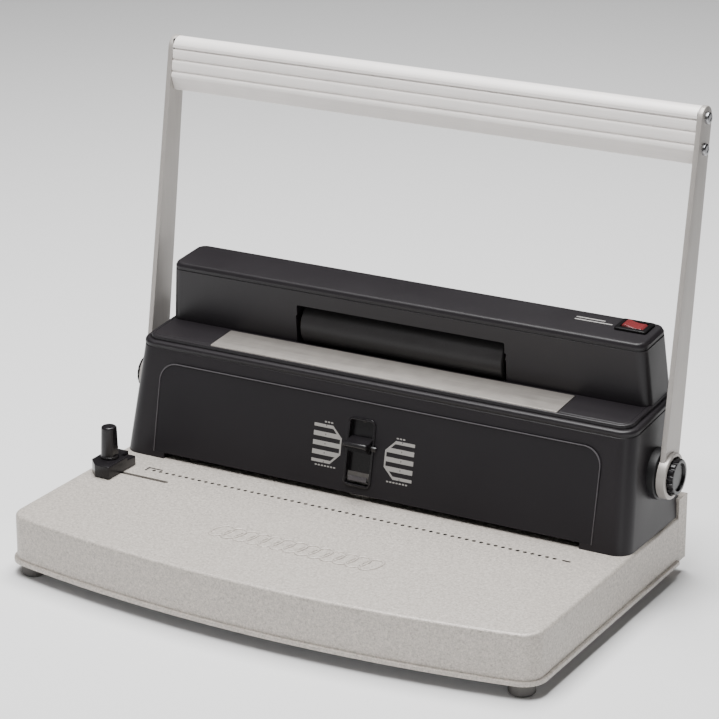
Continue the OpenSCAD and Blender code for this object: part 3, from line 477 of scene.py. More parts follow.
# Settings of each finish
FINISHES = {
    "base_paint": dict(SILVER, rough_spread=0.07),
    "drawer_paint": SILVER,
    "bottom_steel": dict(colour=(0.33, 0.33, 0.34), rough=0.45, metal=0.9, mottle=(60, 0.12),
                         grain=(900, 0.2, 5)),
    "foot_rubber": dict(colour=(0.12, 0.114, 0.108), rough=0.7, mottle=(300, 0.1),
                        grain=(2200, 0.3, 8), dust=0.05, ior=1.3),
    "black_screw": dict(colour=(0.05, 0.05, 0.052), rough=0.35, metal=0.9, mottle=(500, 0.2),
                        grain=(3000, 0.2, 3)),
    "housing_black": SHELL,
    "cover_black": SHELL,
    "panel_black": dict(colour=(0.0165, 0.015, 0.0172), rough=0.45, rough_spread=0.05, mottle=(18, 0.12),
                        grain=(3200, 0.2, 4), dust=0.03, ior=1.3),
    "control_black": dict(colour=(0.011, 0.0098, 0.0112), rough=0.24, rough_spread=0.06, mottle=(120, 0.15),
                          grain=(2400, 0.12, 4), ior=1.4),
    "strip_steel": dict(colour=(0.35, 0.325, 0.3), rough=0.42, rough_spread=0.1, metal=0.6,
                        mottle=(90, 0.2), grain=(1900, 0.3, 3), streak=0),
    "roller_rubber": dict(colour=(0.026, 0.0245, 0.025), rough=0.42, mottle=(60, 0.2),
                          grain=(1500, 0.2, 4), dust=0.04, ior=1.35),
    "core_aluminium": dict(colour=(0.7, 0.7, 0.71), rough=0.35, metal=1.0, mottle=(90, 0.08),
                           grain=(1800, 0.2, 3)),
    "bright_steel": dict(colour=(0.62, 0.62, 0.63), rough=0.22, metal=1.0, mottle=(80, 0.1),
                         grain=(2200, 0.2, 3), streak=0),
    "bronze": dict(colour=(0.52, 0.31, 0.12), rough=0.35, metal=1.0, mottle=(250, 0.2),
                   grain=(1800, 0.2, 4)),
    "nylon": dict(colour=(0.72, 0.69, 0.6), rough=0.5, mottle=(120, 0.06), grain=(1800, 0.1, 3)),
    "pinion_brass": dict(colour=(0.68, 0.48, 0.18), rough=0.28, metal=1.0, mottle=(200, 0.15),
                         grain=(2000, 0.15, 3)),
    "motor_can": dict(colour=(0.46, 0.465, 0.48), rough=0.33, metal=1.0, mottle=(60, 0.1),
                      grain=(1500, 0.2, 3), streak=0),
    "frame_steel": dict(colour=(0.5, 0.5, 0.51), rough=0.4, metal=1.0, mottle=(45, 0.14),
                        grain=(1300, 0.2, 4)),
    "switch_black": dict(colour=(0.008, 0.0075, 0.008), rough=0.3, mottle=(200, 0.15),
                         grain=(2600, 0.15, 3), specular=0.2, ior=1.35),
    "switch_red": dict(colour=(0.17, 0.028, 0.03), rough=0.2, mottle=(160, 0.12),
                       grain=(900, 0.04, 3), specular=0.4, coat=0.1, ior=1.4),
    "board_green": dict(colour=(0.03, 0.16, 0.07), rough=0.4, mottle=(400, 0.25),
                        grain=(1200, 0.2, 5)),
    "arm_aluminium": dict(colour=(0.42, 0.395, 0.372), rough=0.36, metal=0.25, mottle=(60, 0.07),
                          grain=(1500, 0.28, 4), streak=2, ior=1.4),
    "grip_aluminium": dict(colour=(0.9, 0.862, 0.835), rough=0.4, metal=0.05, mottle=(60, 0.05),
                           grain=(1700, 0.25, 3), streak=0),
    "boss_grey": dict(colour=(0.017, 0.0165, 0.0175), rough=0.42, mottle=(100, 0.12),
                      grain=(2600, 0.3, 5), specular=0.3),
    "tool_steel": dict(colour=(0.36, 0.36, 0.37), rough=0.32, metal=1.0, mottle=(50, 0.18),
                       grain=(1500, 0.2, 4)),
    "pin_steel": dict(colour=(0.66, 0.66, 0.68), rough=0.18, metal=1.0, mottle=(150, 0.1),
                      grain=(2500, 0.1, 2)),
    "spring_steel": dict(colour=(0.42, 0.42, 0.44), rough=0.28, metal=1.0, mottle=(300, 0.15),
                         grain=(2500, 0.1, 2)),
    "print_white": dict(colour=(0.34, 0.33, 0.32), rough=0.5, mottle=(900, 0.1), grain=(3000, 0.2, 2),
                        specular=0.2),
    "print_grey": dict(colour=(0.028, 0.026, 0.025), rough=0.5, mottle=(900, 0.1),
                       grain=(3000, 0.2, 2)),
    # Lighter grey painted on as a highlight, on the front panel's edge bead and on the selector's sill
    "painted_edge_highlight": dict(colour=(0.085, 0.08, 0.086), rough=0.34, mottle=(200, 0.1),
                      grain=(2600, 0.2, 3), specular=0.4),
}


def material(name):
    """The finish of that name, made once"""
    return finish(name, **FINISHES[name])


# ---------- settings ----------


def metres(name, description, default, low, high):
    """A length in metres that the panel shows"""
    return FloatProperty(name=name, description=description, default=default, min=low, max=high,
                         unit="LENGTH")


def watts(name, description, default):
    """A lamp's power in watts"""
    return FloatProperty(name=name, description=description, default=default, min=0, unit="POWER")


class PunchBaseSettings(bpy.types.PropertyGroup):
    """Sizes of the silver base"""

    edge_round: metres("Edge rounding", "Radius along the top edge of the base", 0.0025, 0.0005, 0.0028)
    lip_width: metres("Lip width", "How far the bottom lip stands out", 0.002, 0.0005, 0.002)
    mark_count: IntProperty(name="Gauge marks", description="Number of marks in the gauge row", default=59,
                            min=1, max=80)
    mark_pitch: metres("Mark pitch", "Distance between neighbouring gauge marks", 0.00508, 0.004, 0.0065)
    emblem_rise: metres("Emblem rise", "How far the coil emblem stands off the base", 0.0007, 0.0002, 0.0015)


class PunchHousingSettings(bpy.types.PropertyGroup):
    """Sizes of the black housings"""

    rim_round: metres("Rim rounding", "Radius along the top rim of the lower housing", 0.0023, 0.0005, 0.003)
    groove: metres("Groove width", "Width of the dark groove between rim and deck", 0.0016, 0.0008, 0.003)
    bead: metres("Bead width", "Width of the bead along the edges of deck and block", 0.0014, 0.0005, 0.003)


class PunchLookSettings(bpy.types.PropertyGroup):
    """Light and floor"""

    floor_colour: FloatVectorProperty(name="Floor colour", description="Colour of the plain floor",
                                      default=(0.82, 0.82, 0.82), subtype="COLOR", min=0, max=1)
    floor_glow: FloatProperty(name="Floor glow", description="Light that the floor gives off", default=0.03,
                              min=0)
    key_power: watts("Key light", "Power of the light at the front left", 4)
    top_power: watts("Top light", "Power of the wide light overhead", 84)
    corner_power: watts("Corner light", "Power of the small light at the right", 1.8)
    surround: FloatProperty(name="Surround", description="Brightness of the plain surround", default=0.045,
                            min=0)


# ---------- pieces ----------


class PUNCH_OT_frame_finishes(bpy.types.Operator):
    """Gives every piece of the mechanical frame its finish"""

    bl_idname = "punch.frame_finishes"
    bl_label = "Frame finishes"

    def execute(self, context):
        for part in frame["record"]["subparts"]:
            node = frame["nodes"][part["node"]]
            node.data.materials.clear()
            node.data.materials.append(material(part["material_slot"]))
        return {"FINISHED"}


class PUNCH_OT_base_tray(bpy.types.Operator):
    """Builds the bowed silver tray with its lip, gauge marks and slots"""

    bl_idname = "punch.base_tray"
    bl_label = "Base tray"

    def execute(self, context):
        cfg = context.scene.punch_base
        corner = 14.0
        radius = (BASE_HALF**2 + BOW**2) / (2 * BOW)
        bow_y = radius - BOW + FRONT
        cx = BASE_HALF - corner
        cy = bow_y - math.sqrt((radius - corner) ** 2 - cx * cx)
        turn = math.degrees(math.atan2(bow_y - cy, cx))
        clear_choice()
        bpy.ops.mesh.primitive_plane_add(size=1, location=(BASE_HALF, REAR, FOOT))
        apply_place()
        tray = bpy.context.object
        bpy.ops.object.mode_set(mode="EDIT")
        bpy.ops.mesh.merge(type="CENTER")
        bpy.ops.mesh.extrude_vertices_move(TRANSFORM_OT_translate={"value": (0, cy - REAR, 0)})
        for x, y, degrees, steps in ((cx, cy, turn, 10), (0, bow_y, 180 - 2 * turn, 48), (-cx, cy, turn, 10)):
            bpy.ops.mesh.spin(steps=steps, angle=math.radians(degrees), center=(x, y, FOOT), axis=(0, 0, 1))
        bpy.ops.mesh.extrude_vertices_move(TRANSFORM_OT_translate={"value": (0, REAR - cy, 0)})
        bpy.ops.mesh.select_all(action="SELECT")
        bpy.ops.mesh.remove_doubles(threshold=0.001)
        bpy.ops.mesh.edge_face_add()
        bpy.ops.mesh.extrude_region_move(TRANSFORM_OT_translate={"value": (0, 0, BASE_TOP - FOOT)})
        bpy.ops.mesh.select_all(action="SELECT")
        bpy.ops.mesh.normals_make_consistent(inside=False)
        choose("EDGE", lambda e: all(v.co.z > BASE_TOP - 0.1 for v in e.verts) and middle(e).y < REAR - 0.1)
        bpy.ops.mesh.bevel(offset=1000 * cfg.edge_round, segments=5, affect="EDGES", profile=0.5)
        choose("FACE", lambda f: f.normal.z < -0.9)
        bpy.ops.mesh.delete(type="FACE")
        done()
        modify(tray, "SOLIDIFY", thickness=2, offset=-1, use_even_offset=True)
        edit_all(tray)
        bpy.ops.mesh.bisect(plane_co=(0, 0, LIP_TOP), plane_no=(0, 0, 1), use_fill=False)
        choose("FACE", lambda f: middle(f).z < LIP_TOP - 0.1 and abs(f.normal.z) < 0.5 and f.normal.y < 0.7
               and f.normal.dot(middle(f) - Vector((0, 20, FOOT))) > 0)
        bpy.ops.mesh.extrude_region_shrink_fatten(TRANSFORM_OT_shrink_fatten={"value": 1000 * cfg.lip_width})
        done()
        soften(tray, lambda e: abs(middle(e).z - LIP_TOP) < 0.1 and middle(e).y < REAR - 1
               and len(e.link_faces) == 2 and max(f.normal.z for f in e.link_faces) > 0.9
               and min(abs(f.normal.z) for f in e.link_faces) < 0.5
               and e.calc_face_angle_signed(0) > 0, 0.5, 2)
        half = (cfg.mark_count - 1) * cfg.mark_pitch * 500
        step = (1000 * cfg.mark_pitch, 0, 0)
        marks = rod(1.4, 6, (-half, 0, BASE_TOP), "Z", 16)
        row(marks, cfg.mark_count, step)
        combine(tray, marks)
        combine(tray, block((6, 2, 6), (half + 8, 0, BASE_TOP), 0.98))
        combine(tray, block((50.2, 3.2, 6), (GUIDE[0] + 20.5, GUIDE[1], BASE_TOP), 1.59, 6))
        combine(tray, block((315.1, 19, 20), (0, 50.5, BASE_TOP)))
        combine(tray, block((311.3, 20, 18.5), (0, REAR, 20.2)))
        settle(tray, "base_tray", ON_BASE, "chassis", "base_paint", "base_cover")
        tick = block((11, 1.2, 0.3), (-half - 0.5, 2.7, BASE_TOP + 0.05))
        combine(tick, block((1.3, 5.6, 0.3), (-half - 5.4, 0.4, BASE_TOP + 0.05)), "UNION")
        soften(tick, lambda e: along(e, 2), 0.3, 2)
        # Black plugs sit in the gauge holes as painted shade, in place of the dark inside of the open holes
        plugs = rod(1.38, 1.4, (-half, 0, BASE_TOP - 1.1), "Z", 12)
        soften(plugs, lambda e: middle(e).z > BASE_TOP - 0.5, 0.15, 1)
        row(plugs, cfg.mark_count, step)
        settle(plugs, "gauge_hole_shade", ON_BASE, "chassis", "base_paint", look="switch_black")
        # A black plug in the end slot, painted shade as in the holes
        bar = block((5.9, 1.9, 1.4), (half + 8, 0, BASE_TOP - 1.1), 0.9)
        settle(bar, "gauge_slot_shade", ON_BASE, "chassis", "base_paint", look="switch_black")
        settle(tick, "gauge_origin_mark", ON_BASE, "chassis", "base_paint", look="print_grey")
        return {"FINISHED"}


class PUNCH_OT_coil_emblem(bpy.types.Operator):
    """Raises a row of slanted coil turns on the middle of the base"""

    bl_idname = "punch.coil_emblem"
    bl_label = "Coil emblem"

    def execute(self, context):
        rise = 1000 * context.scene.punch_base.emblem_rise
        clear_choice()
        bpy.ops.mesh.primitive_torus_add(major_segments=40, minor_segments=10, major_radius=9,
                                         minor_radius=1.25)
        turn = bpy.context.object
        bpy.ops.object.mode_set(mode="EDIT")
        bpy.ops.transform.resize(value=(0.62, 1.0, rise / 1.25))
        bpy.ops.transform.rotate(value=math.radians(18), orient_axis="Z", center_override=(0, 0, 0))
        done()
        turns = copies(turn, [Matrix.Translation((-54 + 9 * k, -64, BASE_TOP)) for k in range(13)])
        settle(turns, "coil_emblem", ON_BASE, "chassis", "base_paint", angle=60)
        return {"FINISHED"}


def panel_outline(grow, thick):
    """Outline of the front panel, with round top corners, centred on its face"""
    half, top, low = 161.8 + grow, 65 + grow, 4.0
    panel = block((2 * half, top - low, thick), (0, (top + low) / 2, 0))
    soften(panel, lambda e: along(e, 2) and middle(e).y > 20, 12, 8)
    return panel


def selector_opening():
    """Cutter for the selector's opening in housing and panel"""
    return block((18, 43, 20), WINDOW, 3, 5)


class PUNCH_OT_lower_shell(bpy.types.Operator):
    """Builds the black lower housing with its leaning front and its rounded rim"""

    bl_idname = "punch.lower_shell"
    bl_label = "Lower housing"

    def execute(self, context):
        cfg = context.scene.punch_housing
        deck = (Matrix.Translation((0, DECK_FRONT, BASE_TOP + DECK_RISE))
                @ Matrix.Rotation(math.radians(DECK_TILT), 4, "X"))
        rear = DECK_FRONT + DECK_DEPTH * math.cos(math.radians(DECK_TILT))
        r = 1000 * cfg.rim_round
        rim = 5.8 - 1000 * cfg.groove  # the deck's edge is 5.8 mm in

        def tilted(inset, depth, corner=11.0):
            return ring(LIP_HALF - inset, inset, DECK_DEPTH - inset, max(corner - inset, 2), depth, deck)

        rings = [ring(BODY_HALF, FRONT_FOOT, rear, 11, BASE_TOP), tilted(0, -4.6), tilted(0.45, -4.2),
                 tilted(0.45, -3.6), tilted(0.0, -3.1)]
        for k in range(7):
            a = math.pi * k / 12
            rings.append(tilted(r - r * math.cos(a), r * math.sin(a) - r))
        rings += [tilted(*place) for place in ((rim - 1.0, 0), (rim - 0.6, -0.5), (rim - 0.6, -4), (6, -4),
                                               (6, -6), (3, -6.2))]
        rings.append(ring(BODY_HALF - 3, FRONT_FOOT + 3, rear - 3, 9, BASE_TOP))
        shell = loft(rings, hollow=True)
        combine(shell, block((307.4, 40, 9.2), (0, 24, BASE_TOP - 0.6)))
        seat = panel_outline(0.3, 6)
        shift(seat, (0, 0, 2.2))
        window = selector_opening()
        gauge_room = block((19, 62, 4), (14.5, 34, -3.6))
        to_base = ON_BASE.inverted() @ ON_FRONT
        for tool in (seat, window, gauge_room):
            take(tool)
            tool.matrix_world = to_base
            apply_place()
            combine(shell, tool)
        combine(shell, block((400, 40, 12.6), (0, REAR - 0.3 + 20, BASE_TOP + 6)))
        half = LIP_HALF - 24
        combine(shell, block((2 * half, 20, 48), (0, rear, BASE_TOP + 42)))
        for side in (-1, 1):
            combine(shell, rod(16.5, 12, (side * BOSS_OUT, *PIVOT), "X", 64))
        settle(shell, "lower_shell", ON_BASE, "chassis", "housing_black", "lower_housing")
        return {"FINISHED"}


class PUNCH_OT_front_panel(bpy.types.Operator):
    """Builds the inlaid front panel with its edge bead and sill, both painted lighter as highlights, and the
    selector's frame
    """

    bl_idname = "punch.front_panel"
    bl_label = "Front panel"

    def execute(self, context):
        panel = panel_outline(-0.1, 0.6)
        shift(panel, (0, 0, -0.5))
        inset_faces(panel, lambda f: f.normal.z > 0.9, (0.9, 0))
        combine(panel, selector_opening())
        settle(panel, "face_panel", ON_FRONT, "chassis", "panel_black", "front_panel")
        line = panel_outline(0.25, 0.7)
        core = panel_outline(-0.35, 3)
        shift(core, (0, -2, 0))
        edit(core)
        choose("VERT", lambda v: v.co.y > 20)
        bpy.ops.transform.translate(value=(0, 2, 0))
        done()
        combine(line, core)
        soften(line, lambda e: middle(e).z > 0.3 and abs(e.verts[0].co.z - e.verts[1].co.z) < 0.01, 0.18, 2)
        # The bead ring is painted lighter, as a highlight along the panel's edge
        settle(line, "panel_edge_bead", ON_FRONT, "chassis", "panel_black", look="painted_edge_highlight")
        collar = block((20.4, 45.4, 1.4), (*WINDOW[:2], 0.1), 4, 6)
        combine(collar, block((17.2, 42.2, 6), WINDOW, 1.6, 6))
        soften(collar, lambda e: middle(e).z > 0.7, 0.35, 3)
        settle(collar, "selector_frame", ON_FRONT, "chassis", "panel_black", look="control_black")
        # The sill under the selector is painted lighter, as a highlight on the ledge
        sill = block((13.5, 3.0, 1.2), (WINDOW[0], 14.0, -0.6))
        soften(sill, lambda e: middle(e).z > -0.2, 0.4, 3)
        settle(sill, "selector_sill", ON_FRONT, "chassis", "panel_black", look="painted_edge_highlight")
        return {"FINISHED"}


class PUNCH_OT_thickness_charts(bpy.types.Operator):
    """Prints the two barred thickness charts beside the selector"""

    bl_idname = "punch.thickness_charts"
    bl_label = "Thickness charts"

    def execute(self, context):
        chart = self.plate(0, 21.0, 25.4)
        inner = self.plate(1.1, 21.0, 25.4)
        slats = block((30, 3.0, 4), (0, -9.2, 0))
        row(slats, 4, (0, 6.1, 0))
        combine(inner, slats, "INTERSECT")
        combine(chart, inner)
        for k in range(5):
            combine(chart, block((0.5, 1.1, 4), (-1.5, -12.2 + 6.1 * k, 0)))
        mirrored = duplicate(chart, MIRROR)
        for piece, name, x, y in ((chart, "chart_left", -30.5, 32.7), (mirrored, "chart_right", 22.8, 31.2)):
            face_out(piece)
            settle(piece, name, ON_FRONT @ Matrix.Translation((x, y, -0.17)), "chassis", "panel_black",
                   look="print_white")
            for label, dy in (("above", 14.4), ("below", -14.6)):
                count, width = (3, 1.6) if label == "above" else (7, 1.5)
                tick = block((width, 0.9, 0.12), (-(count - 1) * 1.15, 0, 0), 0.2, 2)
                row(tick, count, (2.3, 0, 0))
                settle(tick, f"{name}_{label}", ON_FRONT @ Matrix.Translation((x, y + dy, -0.17)), "chassis",
                       "panel_black", look="print_white")
        return {"FINISHED"}

    @staticmethod
    def plate(inset, wide, high):
        """A chart's outline with its right corners cut off, or a thicker cutter for its inside"""
        shape = block((wide - 2 * inset, high - 2 * inset, 0.12 if not inset else 3), (0, 0, 0))
        soften(shape, lambda e: along(e, 2) and middle(e).x > 0, 7.2 - 0.4 * inset, 1)
        if inset:
            edit(shape)
            choose("VERT", lambda v: v.co.x < 0)
            bpy.ops.transform.translate(value=(-3, 0, 0))
            done()
        return shape


class PUNCH_OT_depth_selector(bpy.types.Operator):
    """Builds the depth selector with its ribbed finger shelf and side wings"""

    bl_idname = "punch.depth_selector"
    bl_label = "Depth selector"

    def execute(self, context):
        # Y runs up the slope and Z out of it
        shelf = profile_bar([(31.0, -2.2), (32.0, 1.2), (34.0, 4.8), (36.0, 8.1), (36.6, 8.5), (38.2, 8.5),
                             (38.8, 8.0), (39.0, 4.0), (40.6, 0.4), (41.6, -2.2)], 8.3)
        soften(shelf, lambda e: abs(abs(middle(e).x) - 8.3) < 0.01, 0.7, 3)
        combine(shelf, block((24, 41, 2), (0, 38.5, -4.3), 2), "UNION")
        combine(shelf, block((16.2, 9, 5), (0, 36, -2.5)), "UNION")
        wing = profile_bar([(34.0, 0.85), (34.1, 1.25), (35.4, 2.0), (36.6, 2.0), (37.2, 1.3), (37.2, 0.85)],
                           12.4)
        soften(wing, lambda e: abs(abs(middle(e).x) - 12.4) < 0.01, 0.3, 2)
        combine(shelf, wing, "UNION")
        for out in (31.9, 33.0, 34.1, 35.2):
            combine(shelf, block((14.6, 0.45, 1.4), (0, out, (out - 32) * 1.75 + 1.2)), "UNION")
        settle(shelf, "selector_tab", ON_FRONT @ Matrix.Translation((WINDOW[0], 0, 0)), "selector",
               "control_black", "depth_selector")
        fork = block((3, 5, 30), (WINDOW[0], 36.6, BASE_TOP + 42))
        combine(fork, block((8, 2.5, 26), (WINDOW[0], 37.2, BASE_TOP + 42)))
        soften(fork, lambda e: along(e, 2), 0.3, 2)
        settle(fork, "selector_fork", ON_BASE, "selector", "control_black")
        return {"FINISHED"}


class PUNCH_OT_upper_cover(bpy.types.Operator):
    """Builds the deck and the block with their beads, and the roller's trough"""

    bl_idname = "punch.upper_cover"
    bl_label = "Upper housing"

    def execute(self, context):
        cfg = context.scene.punch_housing
        bead = 1000 * cfg.bead
        slope = 4.5 / BLOCK_HIGH  # the block's ends lean in by 4.5 mm

        def level(inset, height, corner=7.0):
            half = DECK_HALF - max(height, 0) * slope - inset
            return ring(half, BLOCK_FRONT + inset, BLOCK_REAR - inset, corner - inset, height)

        cover = loft([level(0, -2.5)] + [level(inset, BLOCK_HIGH - below) for inset, below in (
            (0, 5.2), (0.55, 4.9), (0.55, 4.3), (0, 3.9), (0, 3.9 - bead), (0.5, 1.7), (0.55, 1.5),
            (0.9, 0.7), (1.6, 0.15), (2.6, 0))])
        deck = loft([ring(DECK_HALF, 3.8, 70.1, 9, -4), ring(DECK_HALF, 3.8, 70.1, 9, 1.6),
                     ring(DECK_HALF - 0.25, 4.05, 69.9, 8.8, 2.2),
                     ring(DECK_HALF - 0.8, 4.6, 69.4, 8.4, 2.5)])
        inset_faces(deck, lambda f: f.normal.z > 0.9 and middle(f).z > 2.4,
                    (bead, 0), (0.4, -0.35), (0.5, 0), (0.3, 0.2))
        combine(cover, deck, "UNION")
        combine(cover, block((348, 61, 4.5), (0, 37.3, -2.8)))
        combine(cover, loft([level(3, -8, 8), level(3, BLOCK_HIGH - 6, 8), level(4, BLOCK_HIGH - 3, 9)]))
        trough = rod(19.6, 2 * TROUGH_HALF + 4, (0, *ROLLER), "X", 96)
        combine(trough, block((400, 40, 80), (0, BLOCK_FRONT + 20.5, 18)), "INTERSECT")
        combine(cover, trough, "UNION")
        combine(cover, rod(18, 2 * TROUGH_HALF, (0, *ROLLER), "X", 96))
        combine(cover, rod(6, 2 * TROUGH_HALF + 20, (0, *ROLLER), "X", 32))
        mouth = block((2 * (TROUGH_HALF - 1), 12, 26.7), (0, 35, 2.3 + 13.35))
        soften(mouth, lambda e: along(e, 1) and middle(e).z > 20, 1.2, 3)
        combine(cover, mouth)
        combine(cover, block((254.6, 26.5, 5), (0, STRIP_Y, 4.3)))
        combine(cover, block((18, 12, 20), SWITCH))
        settle(cover, "upper_cover", ON_DECK, "chassis", "cover_black", "upper_housing")
        for k, (x, y, wide) in enumerate(((125.3, 59.56, 20), (128.6, 56.18, 26))):
            bar = block((wide, 1.3, 0.12), (x, y, BLOCK_HIGH + 0.03), 0.3, 2)
            settle(bar, f"switch_print_{k + 1}", ON_DECK, "chassis", "cover_black", look="print_white")
        return {"FINISHED"}


class PUNCH_OT_bed_strip(bpy.types.Operator):
    """Builds the brushed steel strip on the deck"""

    bl_idname = "punch.bed_strip"
    bl_label = "Bed strip"

    def execute(self, context):
        strip = block((254.4, 26.3, 1.2), (0, STRIP_Y, 2.6), 0.6, 3)
        soften(strip, lambda e: middle(e).z > 3.1, 0.25, 2)
        settle(strip, "bed_plate", ON_DECK, "chassis", "strip_steel", "bed_strip")
        return {"FINISHED"}


class PUNCH_OT_roller(bpy.types.Operator):
    """Builds the rubber roller with bevelled ends"""

    bl_idname = "punch.roller"
    bl_label = "Roller"

    def execute(self, context):
        sleeve = rod(16, 149, (0, *ROLLER), "X", 96)
        soften(sleeve, lambda e: abs(abs(middle(e).x) - 74.5) < 0.01 and not along(e, 0), 1.2, 3)
        combine(sleeve, rod(12, 160, (0, *ROLLER), "X", 64))
        settle(sleeve, "roller_cover", ON_DECK, "roller", "roller_rubber", "roller_sleeve")
        return {"FINISHED"}


class PUNCH_OT_power_switch(bpy.types.Operator):
    """Builds the switch's frame and its red rocker"""

    bl_idname = "punch.power_switch"
    bl_label = "Power switch"

    def execute(self, context):
        bezel = block((22, 16, 1.8), (0, 0, 0.9), 1.6)
        soften(bezel, lambda e: middle(e).z > 1.7, 0.7, 3)
        combine(bezel, block((18, 12, 12), (0, 0, -5.5)), "UNION")
        combine(bezel, block((16, 10, 20), (0, 0, 0.2)))
        combine(bezel, rod(1.55, 30, (0, 0, -1.5), "Y", 24))
        settle(bezel, "switch_frame", ON_SWITCH, "chassis", "switch_black", "switch_bezel")
        half = 7.3
        top = [(-half, 3.0), (-half + 0.5, 3.5), (-half + 2, 4.05), (-4, 3.7), (-2, 3.4), (0, 3.3), (2, 3.4),
               (4, 3.7), (half - 2, 4.05), (half - 0.5, 3.5), (half, 3.0)]
        button = profile_bar(top + [(half, 0), (3, -3.4), (-3, -3.4), (-half, 0)], 4.6)
        soften(button, lambda e: abs(abs(middle(e).x) - 4.6) < 0.01 and middle(e).z > 0.5, 0.5, 3)
        combine(button, rod(1.5, 12, (0, 0, 0), "X", 32), "UNION")
        place = (ON_SWITCH @ Matrix.Translation((0, 0, -1.5)) @ Matrix.Rotation(math.radians(8), 4, "Y")
                 @ Matrix.Rotation(math.radians(-90), 4, "Z"))
        settle(button, "rocker_button", place, "rocker", "switch_red", "switch_rocker")
        return {"FINISHED"}


class PUNCH_OT_handle_arms(bpy.types.Operator):
    """Builds the two flat arms with their eyes"""

    bl_idname = "punch.handle_arms"
    bl_label = "Handle arms"

    def execute(self, context):
        tip = ARM_LEN - 8
        outline = ([(-11.5, 0.0)] + [(8 * math.cos(a), tip + 8 * math.sin(a))
                   for a in [math.pi - math.pi * k / 24 for k in range(25)]] + [(11.5, 0.0)])
        arm = profile_bar(outline, 1.75)
        shift(arm, (ARM_IN + 1.75, 0, 0))
        soften(arm, lambda e: not along(e, 0) and middle(e).z > 1, 0.5, 3)
        eye = rod(15, 5.98, (ARM_IN + 3.01, 0, 0), "X", 96)
        soften(eye, lambda e: middle(e).x > ARM_OUT + 1 and not along(e, 0), 0.9, 4)
        combine(arm, eye, "UNION")
        combine(arm, rod(12.62, 20, (ARM_OUT, 0, 0), "X", 96))
        for z in GRIP_SCREWS:
            combine(arm, rod(2, 20, (ARM_OUT, 0, z), "X", 32))
        left = duplicate(arm)
        for piece, side, place in ((arm, "right", ON_HANDLE), (left, "left", ON_HANDLE @ MIRROR)):
            settle(piece, f"{side}_arm_bar", place, "handle", "arm_aluminium", f"{side}_arm")
        return {"FINISHED"}


class PUNCH_OT_grip(bpy.types.Operator):
    """Builds the extruded grip bar with its grooves and turned-under foot, and its screws"""

    bl_idname = "punch.grip"
    bl_label = "Grip bar"

    def execute(self, context):
        r, top, high = 7.6, ARM_LEN - 0.45, 36.15
        low = top - high

        def arc(degrees):
            a = math.radians(degrees)
            return r * math.sin(a), top - r + r * math.cos(a)

        front = [arc(-a) for a in range(0, 91, 10)]
        for share in (0.225, 0.43, 0.65):
            z = top - share * high
            front += [(-r, z + 2.2), (-r + 0.12, z + 1.3), (-r + 0.35, z + 0.75), (-r + 1.1, z + 0.5),
                      (-r + 1.1, z - 0.5), (-r + 0.35, z - 0.75), (-r + 0.12, z - 1.3), (-r, z - 2.2)]
        front += [(-r, low + 9.2), (-r + 0.2, low + 8.6), (-r + 0.6, low + 8.0), (-r + 4.2, low + 1.6),
                  (-r + 5.0, low + 0.5), (-r + 6.2, low)]
        outline = front + [(1.4, low), (r, low + 6)] + [arc(a) for a in range(90, 0, -10)]
        bar = profile_bar(outline, ARM_IN - 0.02)
        soften(bar, lambda e: abs(abs(middle(e).x) - (ARM_IN - 0.02)) < 0.01, 0.25, 2)
        settle(bar, "grip_extrusion", ON_HANDLE, "handle", "grip_aluminium", "grip_bar", angle=22)
        z = GRIP_SCREWS[0]
        head = rod(3.8, 2.4, (ARM_OUT + 1.1, 0, z), "X", 40)
        soften(head, lambda e: middle(e).x > ARM_OUT + 2 and not along(e, 0), 1.1, 4)
        combine(head, rod(2.0, 3, (ARM_OUT + 2.6, 0, z), "X", 6))
        combine(head, rod(2, 16, (ARM_OUT - 6, 0, z), "X", 24), "UNION")
        heads = [head, duplicate(head, Matrix.Translation((0, 0, GRIP_SCREWS[1] - z)))]
        heads += [duplicate(h, MIRROR) for h in list(heads)]
        for k, piece in enumerate(heads):
            face_out(piece)
            nodes = ["grip_screws"] if k == 0 else []
            settle(piece, f"grip_screw_{k + 1}", ON_HANDLE, "handle", "black_screw", *nodes,
                   look="tool_steel")
        return {"FINISHED"}


